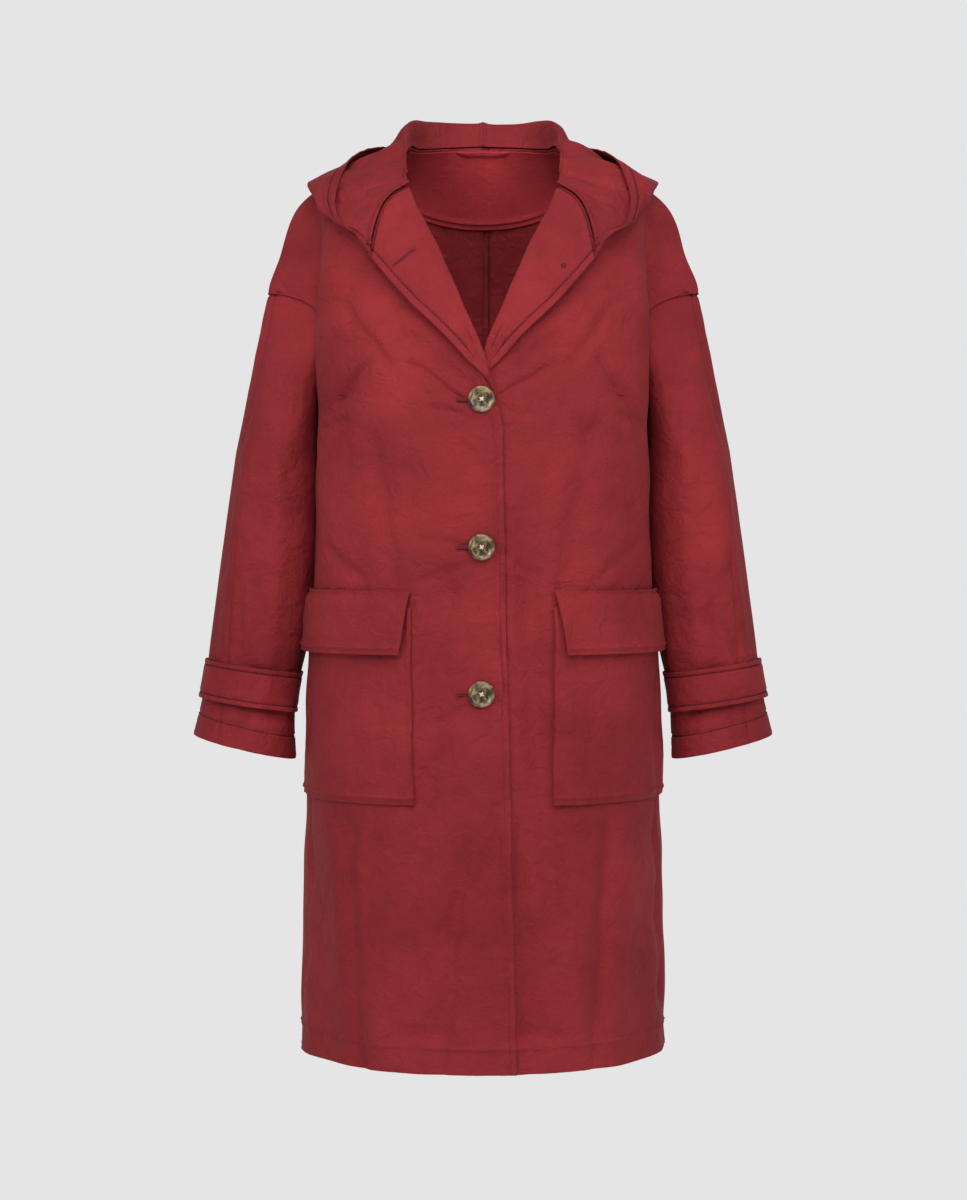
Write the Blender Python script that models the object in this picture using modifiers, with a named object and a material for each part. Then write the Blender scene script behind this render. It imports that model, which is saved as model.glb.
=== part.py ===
"""A hooded trench coat, worn but with no wearer: single-breasted, dropped shoulders, hood laid back.

Metres, +Z up, the front faces -Y and +X is the wearer's left. The origin is midway between the
shoulders, where the wearer holds the coat up. The body is a stack of girths, each a closed ring
of the angle phi about the Z axis: 0 is the centre front, 90 the side seam and 180 the centre back.
A panel is a patch of these rings, and what lies on a panel is made from the panel's own points.
"""
import math
from collections import namedtuple

import bmesh
import bpy
import numpy as np
from mathutils import Vector

# Cloth and seams
CLOTH = 0.0020          # a panel's wall
DOUBLE_CLOTH = 0.0026   # two layers sewn together, as in a lapel, flap or strap
SEAM_GAP = 0.0003       # between two pieces that meet at a seam
LAYER_GAP = 0.0004      # between two pieces that lie on each other
HOOD_CLEAR = 0.0038     # from the hood's middle surface to the body's

# Fastening
OVERLAP_TOP, OVERLAP_FOOT = 0.0205, 0.0365   # from the centre front to either front edge
BUTTON_Z = (-0.243, -0.402, -0.560)
BUTTON_RADIUS = 0.0142
BUTTON_THICKNESS = 0.0042
BUTTON_LIFT = 0.0007    # from the cloth to the button's back
BUTTON_HOLE_RADIUS = 0.0011
BUTTON_HOLE_OFFSET = 0.0022
UNDER_LAP = 0.0036      # how far the under front is set back below the upper one
LAP_FADE_PHI, LAP_FADE = 50.0, 25.0        # it comes back up to the coat's form over these angles
LAP_TOP_UP, LAP_FADE_UP = 0.815, 0.022     # and by this place up the cloth
CROSSING_UP, CROSSING_HALF = 0.780, 0.030  # where the under lapel goes under the upper one
CROSSING_DEPTH, CROSSING_PHI = 0.0052, 12.0

# Pockets, on the front panels
POCKET_TOP, POCKET_FOOT = -0.467, -0.688
POCKET_INNER_X, POCKET_SIDE_PHI = 0.079, 88.0
FLAP_TOP, FLAP_FOOT = -0.449, -0.518
FLAP_INNER_X, FLAP_SIDE_PHI = 0.081, 87.0
FLAP_LIFT = 0.0030      # how far the flap's foot stands off the pocket
POCKET_FULLNESS = 0.0030   # how far the pocket bulges between its seams
FLAP_CLEAR = 0.0036        # from the pocket's seat to the flap's, past that bulge

# Cuff straps, on the sleeves: the share of the sleeve's last stretch that each one covers
STRAP_TOP, STRAP_FOOT = 0.815, 0.905

# Hanger loop and back neck facing
LOOP_WIDTH, LOOP_DROP, LOOP_HEIGHT = 0.060, 0.0045, 0.0055
FACING_DEPTH_CENTRE, FACING_DEPTH_SIDE = 0.134, 0.030

Girth = namedtuple(
    "Girth",
    "up z_front z_side z_back half_width front back squareness corner valley cap",
)
# up is the way along the cloth from the hem. corner, valley and cap are the front corner of the
# chest, the dip beside it and the cloth that drops over the upper arm.
GIRTHS = (
    Girth(0.000, -0.970, -0.966, -0.972, 0.2045, 0.166, 0.150, 2.30, 0.000, 0.000, 0.000),
    Girth(0.170, -0.800, -0.797, -0.802, 0.2020, 0.160, 0.142, 2.35, 0.000, 0.000, 0.000),
    Girth(0.320, -0.650, -0.650, -0.650, 0.1970, 0.154, 0.134, 2.40, 0.000, 0.000, 0.000),
    Girth(0.490, -0.480, -0.480, -0.480, 0.1905, 0.149, 0.122, 2.50, 0.002, 0.000, 0.000),
    Girth(0.620, -0.350, -0.350, -0.350, 0.1870, 0.150, 0.120, 2.60, 0.004, 0.001, 0.000),
    Girth(0.735, -0.240, -0.235, -0.235, 0.1850, 0.150, 0.122, 2.70, 0.007, 0.003, 0.000),
    Girth(0.800, -0.185, -0.168, -0.155, 0.1860, 0.145, 0.124, 2.70, 0.009, 0.007, 0.020),
    Girth(0.860, -0.145, -0.118, -0.095, 0.1870, 0.134, 0.122, 2.70, 0.009, 0.009, 0.060),
    Girth(0.900, -0.115, -0.075, -0.055, 0.1870, 0.124, 0.116, 2.65, 0.006, 0.006, 0.046),
    Girth(0.945, -0.090, -0.022, -0.018, 0.1860, 0.113, 0.106, 2.55, 0.002, 0.002, 0.027),
    Girth(0.985, -0.072, 0.008, 0.010, 0.1660, 0.102, 0.095, 2.40, 0.000, 0.000, 0.000),
    Girth(1.025, -0.055, 0.028, 0.034, 0.1180, 0.089, 0.084, 2.20, 0.000, 0.000, 0.000),
    Girth(1.060, -0.045, 0.046, 0.055, 0.0820, 0.074, 0.074, 2.00, 0.000, 0.000, 0.000),
)
UNDERARM_UP, SLEEVE_HEAD_UP, GORGE_UP, NECK_UP = 0.735, 0.860, 1.025, 1.060
ARMHOLE_MIDDLE = 0.5 * (UNDERARM_UP + SLEEVE_HEAD_UP)
ARMHOLE_HALF = 0.5 * (SLEEVE_HEAD_UP - UNDERARM_UP)
ARMHOLE_SPANS = 8       # the rows a panel has along the armhole
CORNER_PHI, CORNER_SPREAD = 66.0, 9.0
VALLEY_PHI, VALLEY_SPREAD = 78.0, 5.0
CAP_PHI, CAP_SPREAD = 92.0, 8.5
ARMHOLE_FRONT_PHI, ARMHOLE_BACK_PHI = 12.0, 19.0   # how far the armhole reaches from the side seam

RollPoint = namedtuple("RollPoint", "up phi")
# The edge of the upper front: straight up to the top button, then along the lapel's roll
# line to the gorge, and round the neckline to the shoulder seam. Minus phi is the panel's own side.
ROLL_LINE = (
    RollPoint(0.700, 8.0),
    RollPoint(0.738, 5.3),
    RollPoint(0.770, 2.4),
    RollPoint(0.797, -0.6),
    RollPoint(0.841, -5.9),
    RollPoint(0.885, -12.5),
    RollPoint(0.917, -18.2),
    RollPoint(0.960, -26.5),
    RollPoint(0.995, -37.0),
    RollPoint(1.022, -49.5),
    RollPoint(1.045, -68.0),
    RollPoint(1.060, -90.0),
)

Crease = namedtuple("Crease", "phi_from z_from phi_to z_to width depth")
# The largest folds, each a soft trough along a line on the body (a minus depth is a ridge)
CREASES = (
    Crease(-17, -0.450, -29, -0.790, 0.017, 0.0055),
    Crease(-24, -0.480, -36, -0.900, 0.020, -0.0040),
    Crease(19, -0.440, 27, -0.780, 0.016, 0.0060),
    Crease(27, -0.500, 34, -0.880, 0.020, -0.0040),
    Crease(3, -0.735, -15, -0.815, 0.014, 0.0035),
    Crease(-43, -0.290, -35, -0.440, 0.013, 0.0040),
    Crease(42, -0.285, 33, -0.440, 0.013, 0.0040),
    Crease(-31, -0.178, -7, -0.228, 0.012, 0.0040),
    Crease(28, -0.180, 9, -0.222, 0.011, 0.0035),
    Crease(-63, -0.255, -54, -0.232, 0.013, 0.0060),
    Crease(63, -0.255, 54, -0.232, 0.013, 0.0060),
    Crease(-68, -0.760, -60, -0.940, 0.028, 0.0060),
    Crease(68, -0.750, 61, -0.940, 0.028, 0.0060),
    Crease(-20, -0.928, -27, -0.930, 0.010, 0.0030),
    Crease(15, -0.925, 26, -0.930, 0.010, 0.0035),
    Crease(-158, -0.330, -150, -0.850, 0.022, 0.0060),
    Crease(155, -0.380, 147, -0.900, 0.020, 0.0055),
    Crease(-126, -0.270, -133, -0.700, 0.018, 0.0060),
    Crease(127, -0.260, 135, -0.640, 0.018, 0.0055),
    Crease(-172, -0.560, -168, -0.940, 0.020, -0.0050),
    Crease(170, -0.600, 165, -0.945, 0.020, -0.0050),
    Crease(-106, -0.620, -112, -0.940, 0.024, -0.0045),
    Crease(107, -0.640, 114, -0.940, 0.024, -0.0045),
)
CREASE_GIRTH_RADIUS = 0.165   # turns a crease's angle into a distance

SleeveRing = namedtuple("SleeveRing", "along x y z half_width half_depth tilt seam")
# along runs from the armhole to the cuff. tilt leans the ring outwards, and seam is the angle of
# the overarm seam, from the outermost point towards the front.
SLEEVE_RINGS = (
    SleeveRing(0.36, 0.2365, 0.014, -0.300, 0.0425, 0.066, 6.0, 30.0),
    SleeveRing(0.56, 0.2455, 0.011, -0.400, 0.0475, 0.061, 7.0, 44.0),
    SleeveRing(0.76, 0.2565, 0.006, -0.510, 0.0510, 0.056, 8.0, 55.0),
    SleeveRing(0.86, 0.2630, 0.003, -0.565, 0.0515, 0.054, 8.0, 60.0),
    SleeveRing(1.00, 0.2700, 0.000, -0.632, 0.0585, 0.058, 8.0, 62.0),
)
SEAM_AT_HEAD = 6.0
UNDERARM_SEAM = 190.0
SleeveFold = namedtuple("SleeveFold", "angle_from along_from angle_to along_to width depth")
SLEEVE_FOLDS = (
    SleeveFold(75, 0.30, 92, 0.84, 0.16, 0.0050),
    SleeveFold(118, 0.40, 126, 0.80, 0.14, 0.0040),
    SleeveFold(250, 0.15, 262, 0.75, 0.16, 0.0050),
    SleeveFold(300, 0.30, 312, 0.84, 0.15, 0.0045),
    SleeveFold(100, 0.82, 128, 0.90, 0.13, 0.0040),
)

LapelRow = namedtuple("LapelRow", "roll_up edge_up edge_phi lift")
LAPEL_ROWS = (
    LapelRow(0.7450, 0.7430, 4.0, 0.0025),
    LapelRow(0.7620, 0.7560, 1.6, 0.0024),
    LapelRow(0.7800, 0.7668, -1.8, 0.0030),
    LapelRow(0.8020, 0.7795, -6.6, 0.0045),
    LapelRow(0.8450, 0.8060, -14.6, 0.0065),
    LapelRow(0.8900, 0.8330, -22.9, 0.0080),
    LapelRow(0.9400, 0.8610, -32.4, 0.0090),
    LapelRow(0.9850, 0.8830, -40.4, 0.0100),
    LapelRow(1.0235, 0.9040, -48.4, 0.0105),
)
UNDER_LAPEL_START = 2.0   # the under lapel starts this many rows up, where the upper one covers it

HoodRow = namedtuple("HoodRow", "neck_up neck_phi roll inner fold outer rim")
# Each row is one section of the laid-back hood, from the neck seam up over the roll, out to the
# fold, and back over itself to the rim. Millimetres, on the wearer's left.
HOOD_ROWS = (
    HoodRow(1.034, 59, (85, -50, 13), (107, -80, -13), (138, -102, -46), (140, -108, -56), (138, -113, -64)),
    HoodRow(1.045, 70, (86, -27, 34), (118, -58, 4), (166, -80, -36), (166, -90, -44), (158, -99, -47)),
    HoodRow(1.060, 90, (86, 0, 57), (124, -20, 34), (193, -31, 0), (181, -53, -5), (162, -69, -14)),
    HoodRow(1.060, 112, (77, 36, 76), (112, 26, 48), (191, 26, 3), (160, -4, 24), (148, -22, 31)),
    HoodRow(1.060, 132, (62, 63, 81), (98, 72, 50), (176, 82, -33), (134, 62, 33), (116, 30, 51)),
    HoodRow(1.060, 154, (36, 84, 81), (64, 110, 30), (120, 133, -112), (110, 142, 4), (95, 96, 52)),
    HoodRow(1.060, 180, (0, 92, 80), (0, 120, 5), (0, 143, -180), (0, 172, -75), (0, 158, 34)),
)

RED = (0.29, 0.035, 0.042)
HORN = (0.26, 0.19, 0.10)


# --- small tools -------------------------------------------------------------------------------

def smooth_through(knots, values, at):
    """A smooth curve through values at the knots, read at the given places."""
    knots, values = np.asarray(knots, float), np.asarray(values, float)
    at = np.clip(np.asarray(at, float), knots[0], knots[-1])
    steps = np.diff(knots)
    slopes = np.diff(values, axis=0) / steps.reshape((-1,) + (1,) * (values.ndim - 1))
    tangents = np.empty_like(values)
    tangents[0], tangents[-1] = slopes[0], slopes[-1]
    weight = (steps[1:] / (steps[1:] + steps[:-1])).reshape((-1,) + (1,) * (values.ndim - 1))
    tangents[1:-1] = slopes[:-1] * weight + slopes[1:] * (1 - weight)
    i = np.clip(np.searchsorted(knots, at, side="right") - 1, 0, len(steps) - 1)
    shape = at.shape + (1,) * (values.ndim - 1)
    h = steps[i].reshape(shape)
    t = ((at - knots[i]) / steps[i]).reshape(shape)
    return (
        values[i] * (2 * t**3 - 3 * t**2 + 1)
        + tangents[i] * h * (t**3 - 2 * t**2 + t)
        + values[i + 1] * (3 * t**2 - 2 * t**3)
        + tangents[i + 1] * h * (t**3 - t**2)
    )


def bump(x):
    """1 at 0, falling smoothly to nothing past about 2."""
    return np.exp(-np.square(x))


def normals_of(surface, a, b, step_a, step_b):
    """Unit normals of surface(a, b), by small steps along each parameter."""
    along_a = surface(a + step_a, b) - surface(a - step_a, b)
    along_b = surface(a, b + step_b) - surface(a, b - step_b)
    normal = np.cross(along_a, along_b)
    return normal / np.linalg.norm(normal, axis=-1, keepdims=True)


# --- the body ----------------------------------------------------------------------------------

def girth_at(up):
    """Every column of GIRTHS at the given places along the cloth, as a Girth of arrays."""
    table = np.array(GIRTHS)
    return Girth(*np.moveaxis(smooth_through(table[:, 0], table, up), -1, 0))


def crease_depth(phi, z):
    """How far the folds pull the cloth in at phi degrees and height z."""
    across = np.radians(phi) * CREASE_GIRTH_RADIUS
    total = np.zeros(np.broadcast(phi, z).shape)
    for crease in CREASES:
        start = np.array([math.radians(crease.phi_from) * CREASE_GIRTH_RADIUS, crease.z_from])
        run = np.array([math.radians(crease.phi_to) * CREASE_GIRTH_RADIUS, crease.z_to]) - start
        length = float(np.linalg.norm(run))
        share = ((across - start[0]) * run[0] + (z - start[1]) * run[1]) / length**2
        off_line = ((across - start[0]) * run[1] - (z - start[1]) * run[0]) / length
        past_end = np.maximum(np.maximum(-share, share - 1), 0) * length
        total += crease.depth * bump(off_line / crease.width) * bump(past_end / (1.6 * crease.width))
    return total


def body(up, phi):
    """Points of the body's cloth at places up the cloth and angles phi, minus on the wearer's right."""
    up, phi = np.broadcast_arrays(np.asarray(up, float), np.asarray(phi, float))
    girth = girth_at(up)
    turn = np.radians(phi)
    side, ahead = np.abs(np.sin(turn)), np.cos(turn)
    depth = np.where(ahead > 0, girth.front, girth.back)
    z_end = np.where(ahead > 0, girth.z_front, girth.z_back)
    n = girth.squareness
    radius = ((side / girth.half_width) ** n + (np.abs(ahead) / depth) ** n) ** (-1 / n)
    radius += girth.corner * bump((np.abs(phi) - CORNER_PHI) / CORNER_SPREAD)
    radius -= girth.valley * bump((np.abs(phi) - VALLEY_PHI) / VALLEY_SPREAD)
    radius += girth.cap * bump((np.abs(phi) - CAP_PHI) / CAP_SPREAD)
    z = z_end + (girth.z_side - z_end) * side**2
    radius -= crease_depth(phi, z)
    return np.stack([radius * np.sin(turn), -radius * ahead, z], axis=-1)


def body_normal(up, phi):
    """The body's outward normal."""
    return normals_of(body, up, phi, 0.002, 1.0) * -1


def on_body(up, phi, lift):
    """Points at a height above the body's cloth."""
    return body(up, phi) + body_normal(up, phi) * np.asarray(lift)[..., None]


def phi_at_x(up, x):
    """The angle at which the front of the body has that distance from the middle."""
    return np.degrees(np.arctan2(x, girth_at(up).front))


def up_at_z(z):
    """The place up the cloth whose centre front has that height."""
    table = np.array(GIRTHS)
    return np.interp(z, table[:, 1], table[:, 0])


def armhole_reach(up, most):
    """How far the armhole, half an ellipse, cuts in from the side seam, in degrees."""
    share = np.clip((up - ARMHOLE_MIDDLE) / ARMHOLE_HALF, -1, 1)
    return most * np.sqrt(1 - share**2)


def front_edge_phi(up):
    """Minus where the edge lies on the panel's own side of the centre front."""
    table = np.array(ROLL_LINE)
    share = np.clip(up / ROLL_LINE[0].up, 0, 1)
    straight = phi_at_x(up, OVERLAP_FOOT + (OVERLAP_TOP - OVERLAP_FOOT) * share)
    rolled = smooth_through(table[:, 0], table[:, 1], up)
    share = np.clip((up - (ROLL_LINE[0].up - 0.03)) / 0.03, 0, 1)
    return straight * (1 - share) + rolled * share


# --- objects -----------------------------------------------------------------------------------

def material(name, colour, roughness):
    made = bpy.data.materials.new(name)
    made.use_nodes = True
    shader = made.node_tree.nodes["Principled BSDF"]
    shader.inputs["Base Color"].default_value = (*colour, 1)
    shader.inputs["Roughness"].default_value = roughness
    shader.inputs["Metallic"].default_value = 0.0
    return made


def grid_mesh(name, points):
    """A flat grid with each corner moved to its point, rows by columns."""
    rows, columns = points.shape[:2]
    grid = bmesh.new()
    bmesh.ops.create_grid(grid, x_segments=columns - 1, y_segments=rows - 1, size=1.0)
    for vertex in grid.verts:
        column = round((vertex.co.x + 1) / 2 * (columns - 1))
        row = round((vertex.co.y + 1) / 2 * (rows - 1))
        vertex.co = points[row, column]
    mesh = bpy.data.meshes.new(name)
    grid.to_mesh(mesh)
    grid.free()
    return mesh


def cloth(name, points, thickness, collection, finish):
    """A cloth wall whose middle is the surface through the points."""
    made = bpy.data.objects.new(name, grid_mesh(name, points))
    made.data.materials.append(finish)
    made.data.shade_smooth()
    solidify = made.modifiers.new("wall", "SOLIDIFY")
    solidify.thickness = thickness
    solidify.offset = 0
    collection.objects.link(made)
    return made


def both_sides(points, side):
    """A grid made for the wearer's left (+X), or its mirror image for the right."""
    if side > 0:
        return points
    return (points * np.array([-1, 1, 1]))[:, ::-1]


# --- panels ------------------------------------------------------------------------------------

def armhole_rows():
    """The rows along the armhole, from the underarm up, at even angles round its ellipse."""
    turn = np.linspace(0, np.pi, ARMHOLE_SPANS + 1)
    return ARMHOLE_MIDDLE - ARMHOLE_HALF * np.cos(turn)


def panel_rows():
    """Places up the cloth, closer together where the shoulder curves."""
    return np.concatenate([
        np.linspace(0.0, UNDERARM_UP, 14)[:-1],
        armhole_rows(),
        np.linspace(SLEEVE_HEAD_UP, NECK_UP, 8)[1:],
    ])


def seam_angle(radius):
    """Half a seam's gap, as an angle at that radius. It is wider where the cloth bends sharply, so
    that the two walls' inner edges stay apart."""
    return np.degrees(0.5 * SEAM_GAP / radius)


def shoulder_gap(ups):
    """Half the gap of the side and shoulder seams, in degrees."""
    return seam_angle(0.19) * (1 + 3 * (ups > UNDERARM_UP - 0.01))


def crossing(up, phi):
    """1 where the under lapel goes under the upper one, falling smoothly to 0 round it."""
    return bump((up - CROSSING_UP) / CROSSING_HALF) * bump(np.maximum(phi, 0) / CROSSING_PHI)


def under_depth(up, phi):
    """How far the under front is set back, at angles phi on its own side."""
    lap = UNDER_LAP * np.clip((LAP_FADE_PHI - phi) / LAP_FADE, 0, 1)
    lap = lap * np.clip((LAP_TOP_UP - up) / LAP_FADE_UP, 0, 1)
    return lap + CROSSING_DEPTH * crossing(up, phi)


def front_panel(side):
    """One front, from its edge to the side seam, armhole and shoulder seam."""
    ups = panel_rows()[:, None]
    share = np.linspace(0, 1, 13)[None, :]
    end = 90 - armhole_reach(ups, ARMHOLE_FRONT_PHI) - shoulder_gap(ups)
    edge = np.minimum(-front_edge_phi(ups), end - 1.5)
    phi = edge + (end - edge) * share
    depth = under_depth(ups, phi) if side > 0 else np.zeros_like(phi)
    return on_body(ups, side * phi, -depth)


def back_panel(side):
    """One half of the back, from the side seam to the centre back seam."""
    ups = panel_rows()[:, None]
    share = np.linspace(0, 1, 11)[None, :]
    start = 90 + armhole_reach(ups, ARMHOLE_BACK_PHI) + shoulder_gap(ups)
    phi = start + (180 - seam_angle(0.12) - start) * share
    return on_body(ups, side * phi, np.zeros_like(phi))


def armhole(count):
    """The armhole seam on the wearer's left, from the shoulder end round the front to the underarm
    and up the back, as count points at even distances."""
    ups = armhole_rows()[::-1]
    front = body(ups, 90 - armhole_reach(ups, ARMHOLE_FRONT_PHI))
    back = body(ups[::-1], 90 + armhole_reach(ups[::-1], ARMHOLE_BACK_PHI))
    outward = np.concatenate([
        body_normal(ups, 90 - armhole_reach(ups, ARMHOLE_FRONT_PHI)),
        body_normal(ups[::-1], 90 + armhole_reach(ups[::-1], ARMHOLE_BACK_PHI))[1:],
    ])
    line = np.concatenate([front, back[1:]])
    turn = np.linspace(0, 2 * np.pi, len(line))
    clear = (CLOTH + 3 * SEAM_GAP) * (0.5 - 0.5 * np.cos(turn)) ** 2
    line = line + outward * clear[:, None]
    along = np.concatenate([[0], np.cumsum(np.linalg.norm(np.diff(line, axis=0), axis=1))])
    half = along[len(front) - 1]
    at = np.concatenate([
        np.linspace(0, half, count // 2 + 1),
        np.linspace(half, along[-1], count // 2 + 1)[1:],
    ])
    return np.stack([np.interp(at, along, line[:, axis]) for axis in range(3)], axis=1)


ARMHOLE_POINTS = armhole(72)
SLEEVE_AXIS = np.array([0.16, 0.0, -0.987])


def sleeve(along, angle):
    """Points of the left sleeve: along from the armhole (0) to the cuff (1), angle round it from the
    outermost line through the front (90) and the inner side (180)."""
    along, angle = np.broadcast_arrays(np.asarray(along, float), np.asarray(angle, float))
    turn = np.radians(angle)
    table = np.array(SLEEVE_RINGS)
    ring = SleeveRing(*np.moveaxis(smooth_through(table[:, 0], table, np.maximum(along, table[0, 0])), -1, 0))
    fold = sleeve_fold_depth(along, angle)
    lean = np.radians(ring.tilt)
    across = (ring.half_width - fold) * np.cos(turn)
    tube = np.stack([
        ring.x + across * np.cos(lean),
        ring.y - (ring.half_depth - fold) * np.sin(turn),
        ring.z + across * np.sin(lean),
    ], axis=-1)
    steps = np.linspace(0, 360, len(ARMHOLE_POINTS))
    place = np.mod(angle, 360)
    head = np.stack([np.interp(place, steps, ARMHOLE_POINTS[:, axis]) for axis in range(3)], axis=-1)
    share = np.clip(along / table[0, 0], 0, 1)[..., None]
    return head * (1 - share) + tube * share


def sleeve_fold_depth(along, angle):
    """How far the sleeve's folds pull its cloth in."""
    place = np.mod(angle, 360)
    total = np.zeros(np.broadcast(along, angle).shape)
    for fold in SLEEVE_FOLDS:
        share = (along - fold.along_from) / (fold.along_to - fold.along_from)
        centre = fold.angle_from + (fold.angle_to - fold.angle_from) * np.clip(share, 0, 1)
        past_end = np.maximum(np.maximum(-share, share - 1), 0)
        total += fold.depth * bump(np.radians(place - centre) / (2 * fold.width)) * bump(past_end / 0.2)
    return total


def overarm_seam(along):
    """The overarm seam's angle, which drifts to the front down the sleeve."""
    table = np.array(SLEEVE_RINGS)
    knots = np.concatenate([[0.0], table[:, 0]])
    angles = np.concatenate([[SEAM_AT_HEAD], table[:, 7]])
    return np.interp(along, knots, angles)


def on_sleeve(along, angle, lift):
    """Points at a height above the sleeve's cloth."""
    step = np.minimum(0.01, np.minimum(along, 1 - along) + 0.002)
    normal = normals_of(sleeve, along, angle, step, 2.0)
    return sleeve(along, angle) - normal * np.asarray(lift)[..., None]


def sleeve_piece(side, front):
    """The front or back half of a sleeve, between the overarm and underarm seams."""
    along = np.concatenate([np.linspace(0.003, 0.36, 6)[:-1], np.linspace(0.36, 1.0, 9)])[:, None]
    gap = seam_angle(0.02)
    seam = overarm_seam(along)
    first, last = (seam + gap, UNDERARM_SEAM - gap) if front else (UNDERARM_SEAM + gap, 360 + seam - gap)
    angle = first + (last - first) * np.linspace(0, 1, 9)[None, :]
    return both_sides(sleeve(along, angle), side)


def cuff_strap(side):
    """A broad strap round the sleeve above the cuff, looser than the sleeve at its foot. It is sewn
    into the underarm seam at both ends."""
    along = np.linspace(STRAP_TOP, STRAP_FOOT, 3)[:, None]
    share = np.linspace(0, 1, 29)[None, :]
    angle = UNDERARM_SEAM + 1 + 358 * share
    clear = 0.5 * (CLOTH + DOUBLE_CLOTH) + 1.5 * LAYER_GAP
    looser = 0.0020 + 0.0012 * (along - STRAP_TOP) / (STRAP_FOOT - STRAP_TOP)
    away_from_seam = np.clip(np.minimum(share, 1 - share) / 0.10, 0, 1)
    lift = clear + (looser + sleeve_fold_depth(along, angle)) * away_from_seam
    return both_sides(on_sleeve(along, angle, lift), side)


# --- pieces on the panels ----------------------------------------------------------------------

def on_front_height(z, x_inner, phi_outer, share):
    """Places on the front at a height: from a distance off the centre to an angle near the side."""
    up = up_at_z(z)
    inner = phi_at_x(up, x_inner)
    return up, inner + (phi_outer - inner) * share


def pocket(side):
    """A patch pocket, on the front and round to the side seam."""
    z = np.linspace(POCKET_TOP, POCKET_FOOT, 9)[:, None]
    share = np.linspace(0, 1, 11)[None, :]
    up, phi = on_front_height(z, POCKET_INNER_X, POCKET_SIDE_PHI, share)
    clear = CLOTH + 2.75 * LAYER_GAP
    fullness = POCKET_FULLNESS * np.sin(np.pi * share) * np.clip((z - POCKET_FOOT) / 0.12, 0, 1)
    return both_sides(on_body(up, -phi, clear + fullness)[:, ::-1], -side)


def flap(side):
    """The pocket's flap: sewn along its top, folded down, and standing off at its foot."""
    z = np.linspace(FLAP_TOP, FLAP_FOOT, 7)[:, None]
    share = np.linspace(0, 1, 11)[None, :]
    drop = (FLAP_TOP - z) / (FLAP_TOP - FLAP_FOOT)
    up, phi = on_front_height(z, FLAP_INNER_X + 0.006 * drop, FLAP_SIDE_PHI + 2.0 * drop, share)
    clear = 1.5 * CLOTH + 0.5 * DOUBLE_CLOTH + 2 * LAYER_GAP + FLAP_CLEAR
    lift = clear + FLAP_LIFT * drop**1.5 * (0.45 + 0.55 * share)
    return both_sides(on_body(up, -phi, lift)[:, ::-1], -side)


def lapel_surface(row, share, under=False):
    """Points of the wearer's left lapel: row counts LAPEL_ROWS from the foot, and share runs from
    the roll line to the edge. The under lapel lies flatter where the upper one crosses it."""
    table = np.array(LAPEL_ROWS)
    knots = np.arange(len(table))
    roll_up, edge_up, edge_phi, lift = np.moveaxis(smooth_through(knots, table, row), -1, 0)
    roll_phi = front_edge_phi(roll_up)
    up = roll_up + (edge_up - roll_up) * share
    phi = roll_phi + (edge_phi - roll_phi) * share
    base = 0.5 * (CLOTH + DOUBLE_CLOTH) + 3.5 * LAYER_GAP
    over = lift * np.sin(0.5 * np.pi * share) ** 0.8
    if under:
        over = over * (1 - 0.85 * crossing(up, -phi)) - under_depth(up, -phi)
    return on_body(up, -phi, base + over)


def lapel(side):
    """The turned-back lapel, from the roll line to its edge, up to the gorge seam."""
    start = UNDER_LAPEL_START if side > 0 else 0.0
    row = np.linspace(start, len(LAPEL_ROWS) - 1, 14)[:, None]
    share = np.linspace(0, 1, 5)[None, :]
    return both_sides(lapel_surface(row, share, side > 0), side)


def hood_surface(station, share):
    """Points of the left half of the hood: station runs from the gorge seam (0) through HOOD_ROWS to
    the centre back, and share from the neck seam (0) to the rim (1)."""
    knots = np.array([0.0, 0.10, 0.34, 0.62, 0.80, 1.0])
    sections = []
    last = len(LAPEL_ROWS) - 1
    top = lapel_surface(last, share)
    upwards = top - lapel_surface(last - 0.1, share)
    upwards /= np.linalg.norm(upwards, axis=-1, keepdims=True)
    sections.append(top + upwards * 3 * SEAM_GAP)
    for row in HOOD_ROWS:
        neck = body(row.neck_up, row.neck_phi) + np.array([0, 0, CLOTH * 0.5 + 3 * SEAM_GAP])
        points = [neck] + [np.array(p) / 1000 for p in (row.roll, row.inner, row.fold, row.outer, row.rim)]
        sections.append(smooth_through(knots, np.array(points), share))
    beyond = sections[-2] * np.array([-1, 1, 1])
    surface = smooth_through(np.arange(len(sections) + 1), np.array([*sections, beyond]), station)
    clear = HOOD_CLEAR * np.clip(share / 0.05, 0, 1)
    return clear_of_body(surface, np.broadcast_to(clear, surface.shape[:-1]))


def clear_of_body(points, clear):
    """The points, with any that lie too near the left shoulder or back moved off it."""
    up, phi = np.meshgrid(np.linspace(0.74, NECK_UP, 60), np.linspace(30, 182, 100))
    cloth_points, outward = body(up, phi).reshape(-1, 3), body_normal(up, phi).reshape(-1, 3)
    flat = points.reshape(-1, 3)
    nearest = np.linalg.norm(flat[:, None, :] - cloth_points[None, :, :], axis=2).argmin(axis=1)
    height = np.sum((flat - cloth_points[nearest]) * outward[nearest], axis=1)
    short = np.maximum(clear.reshape(-1) - height, 0)
    return (flat + outward[nearest] * short[:, None]).reshape(points.shape)


def hood(side):
    """One half of the hood, from the gorge seam round to the centre back seam."""
    stations = np.append(np.linspace(0, len(HOOD_ROWS) - 0.2, 18), len(HOOD_ROWS))
    points = hood_surface(stations, np.linspace(0, 1, 15))
    points[-1, :, 0] = SEAM_GAP
    return both_sides(points, side)


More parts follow.
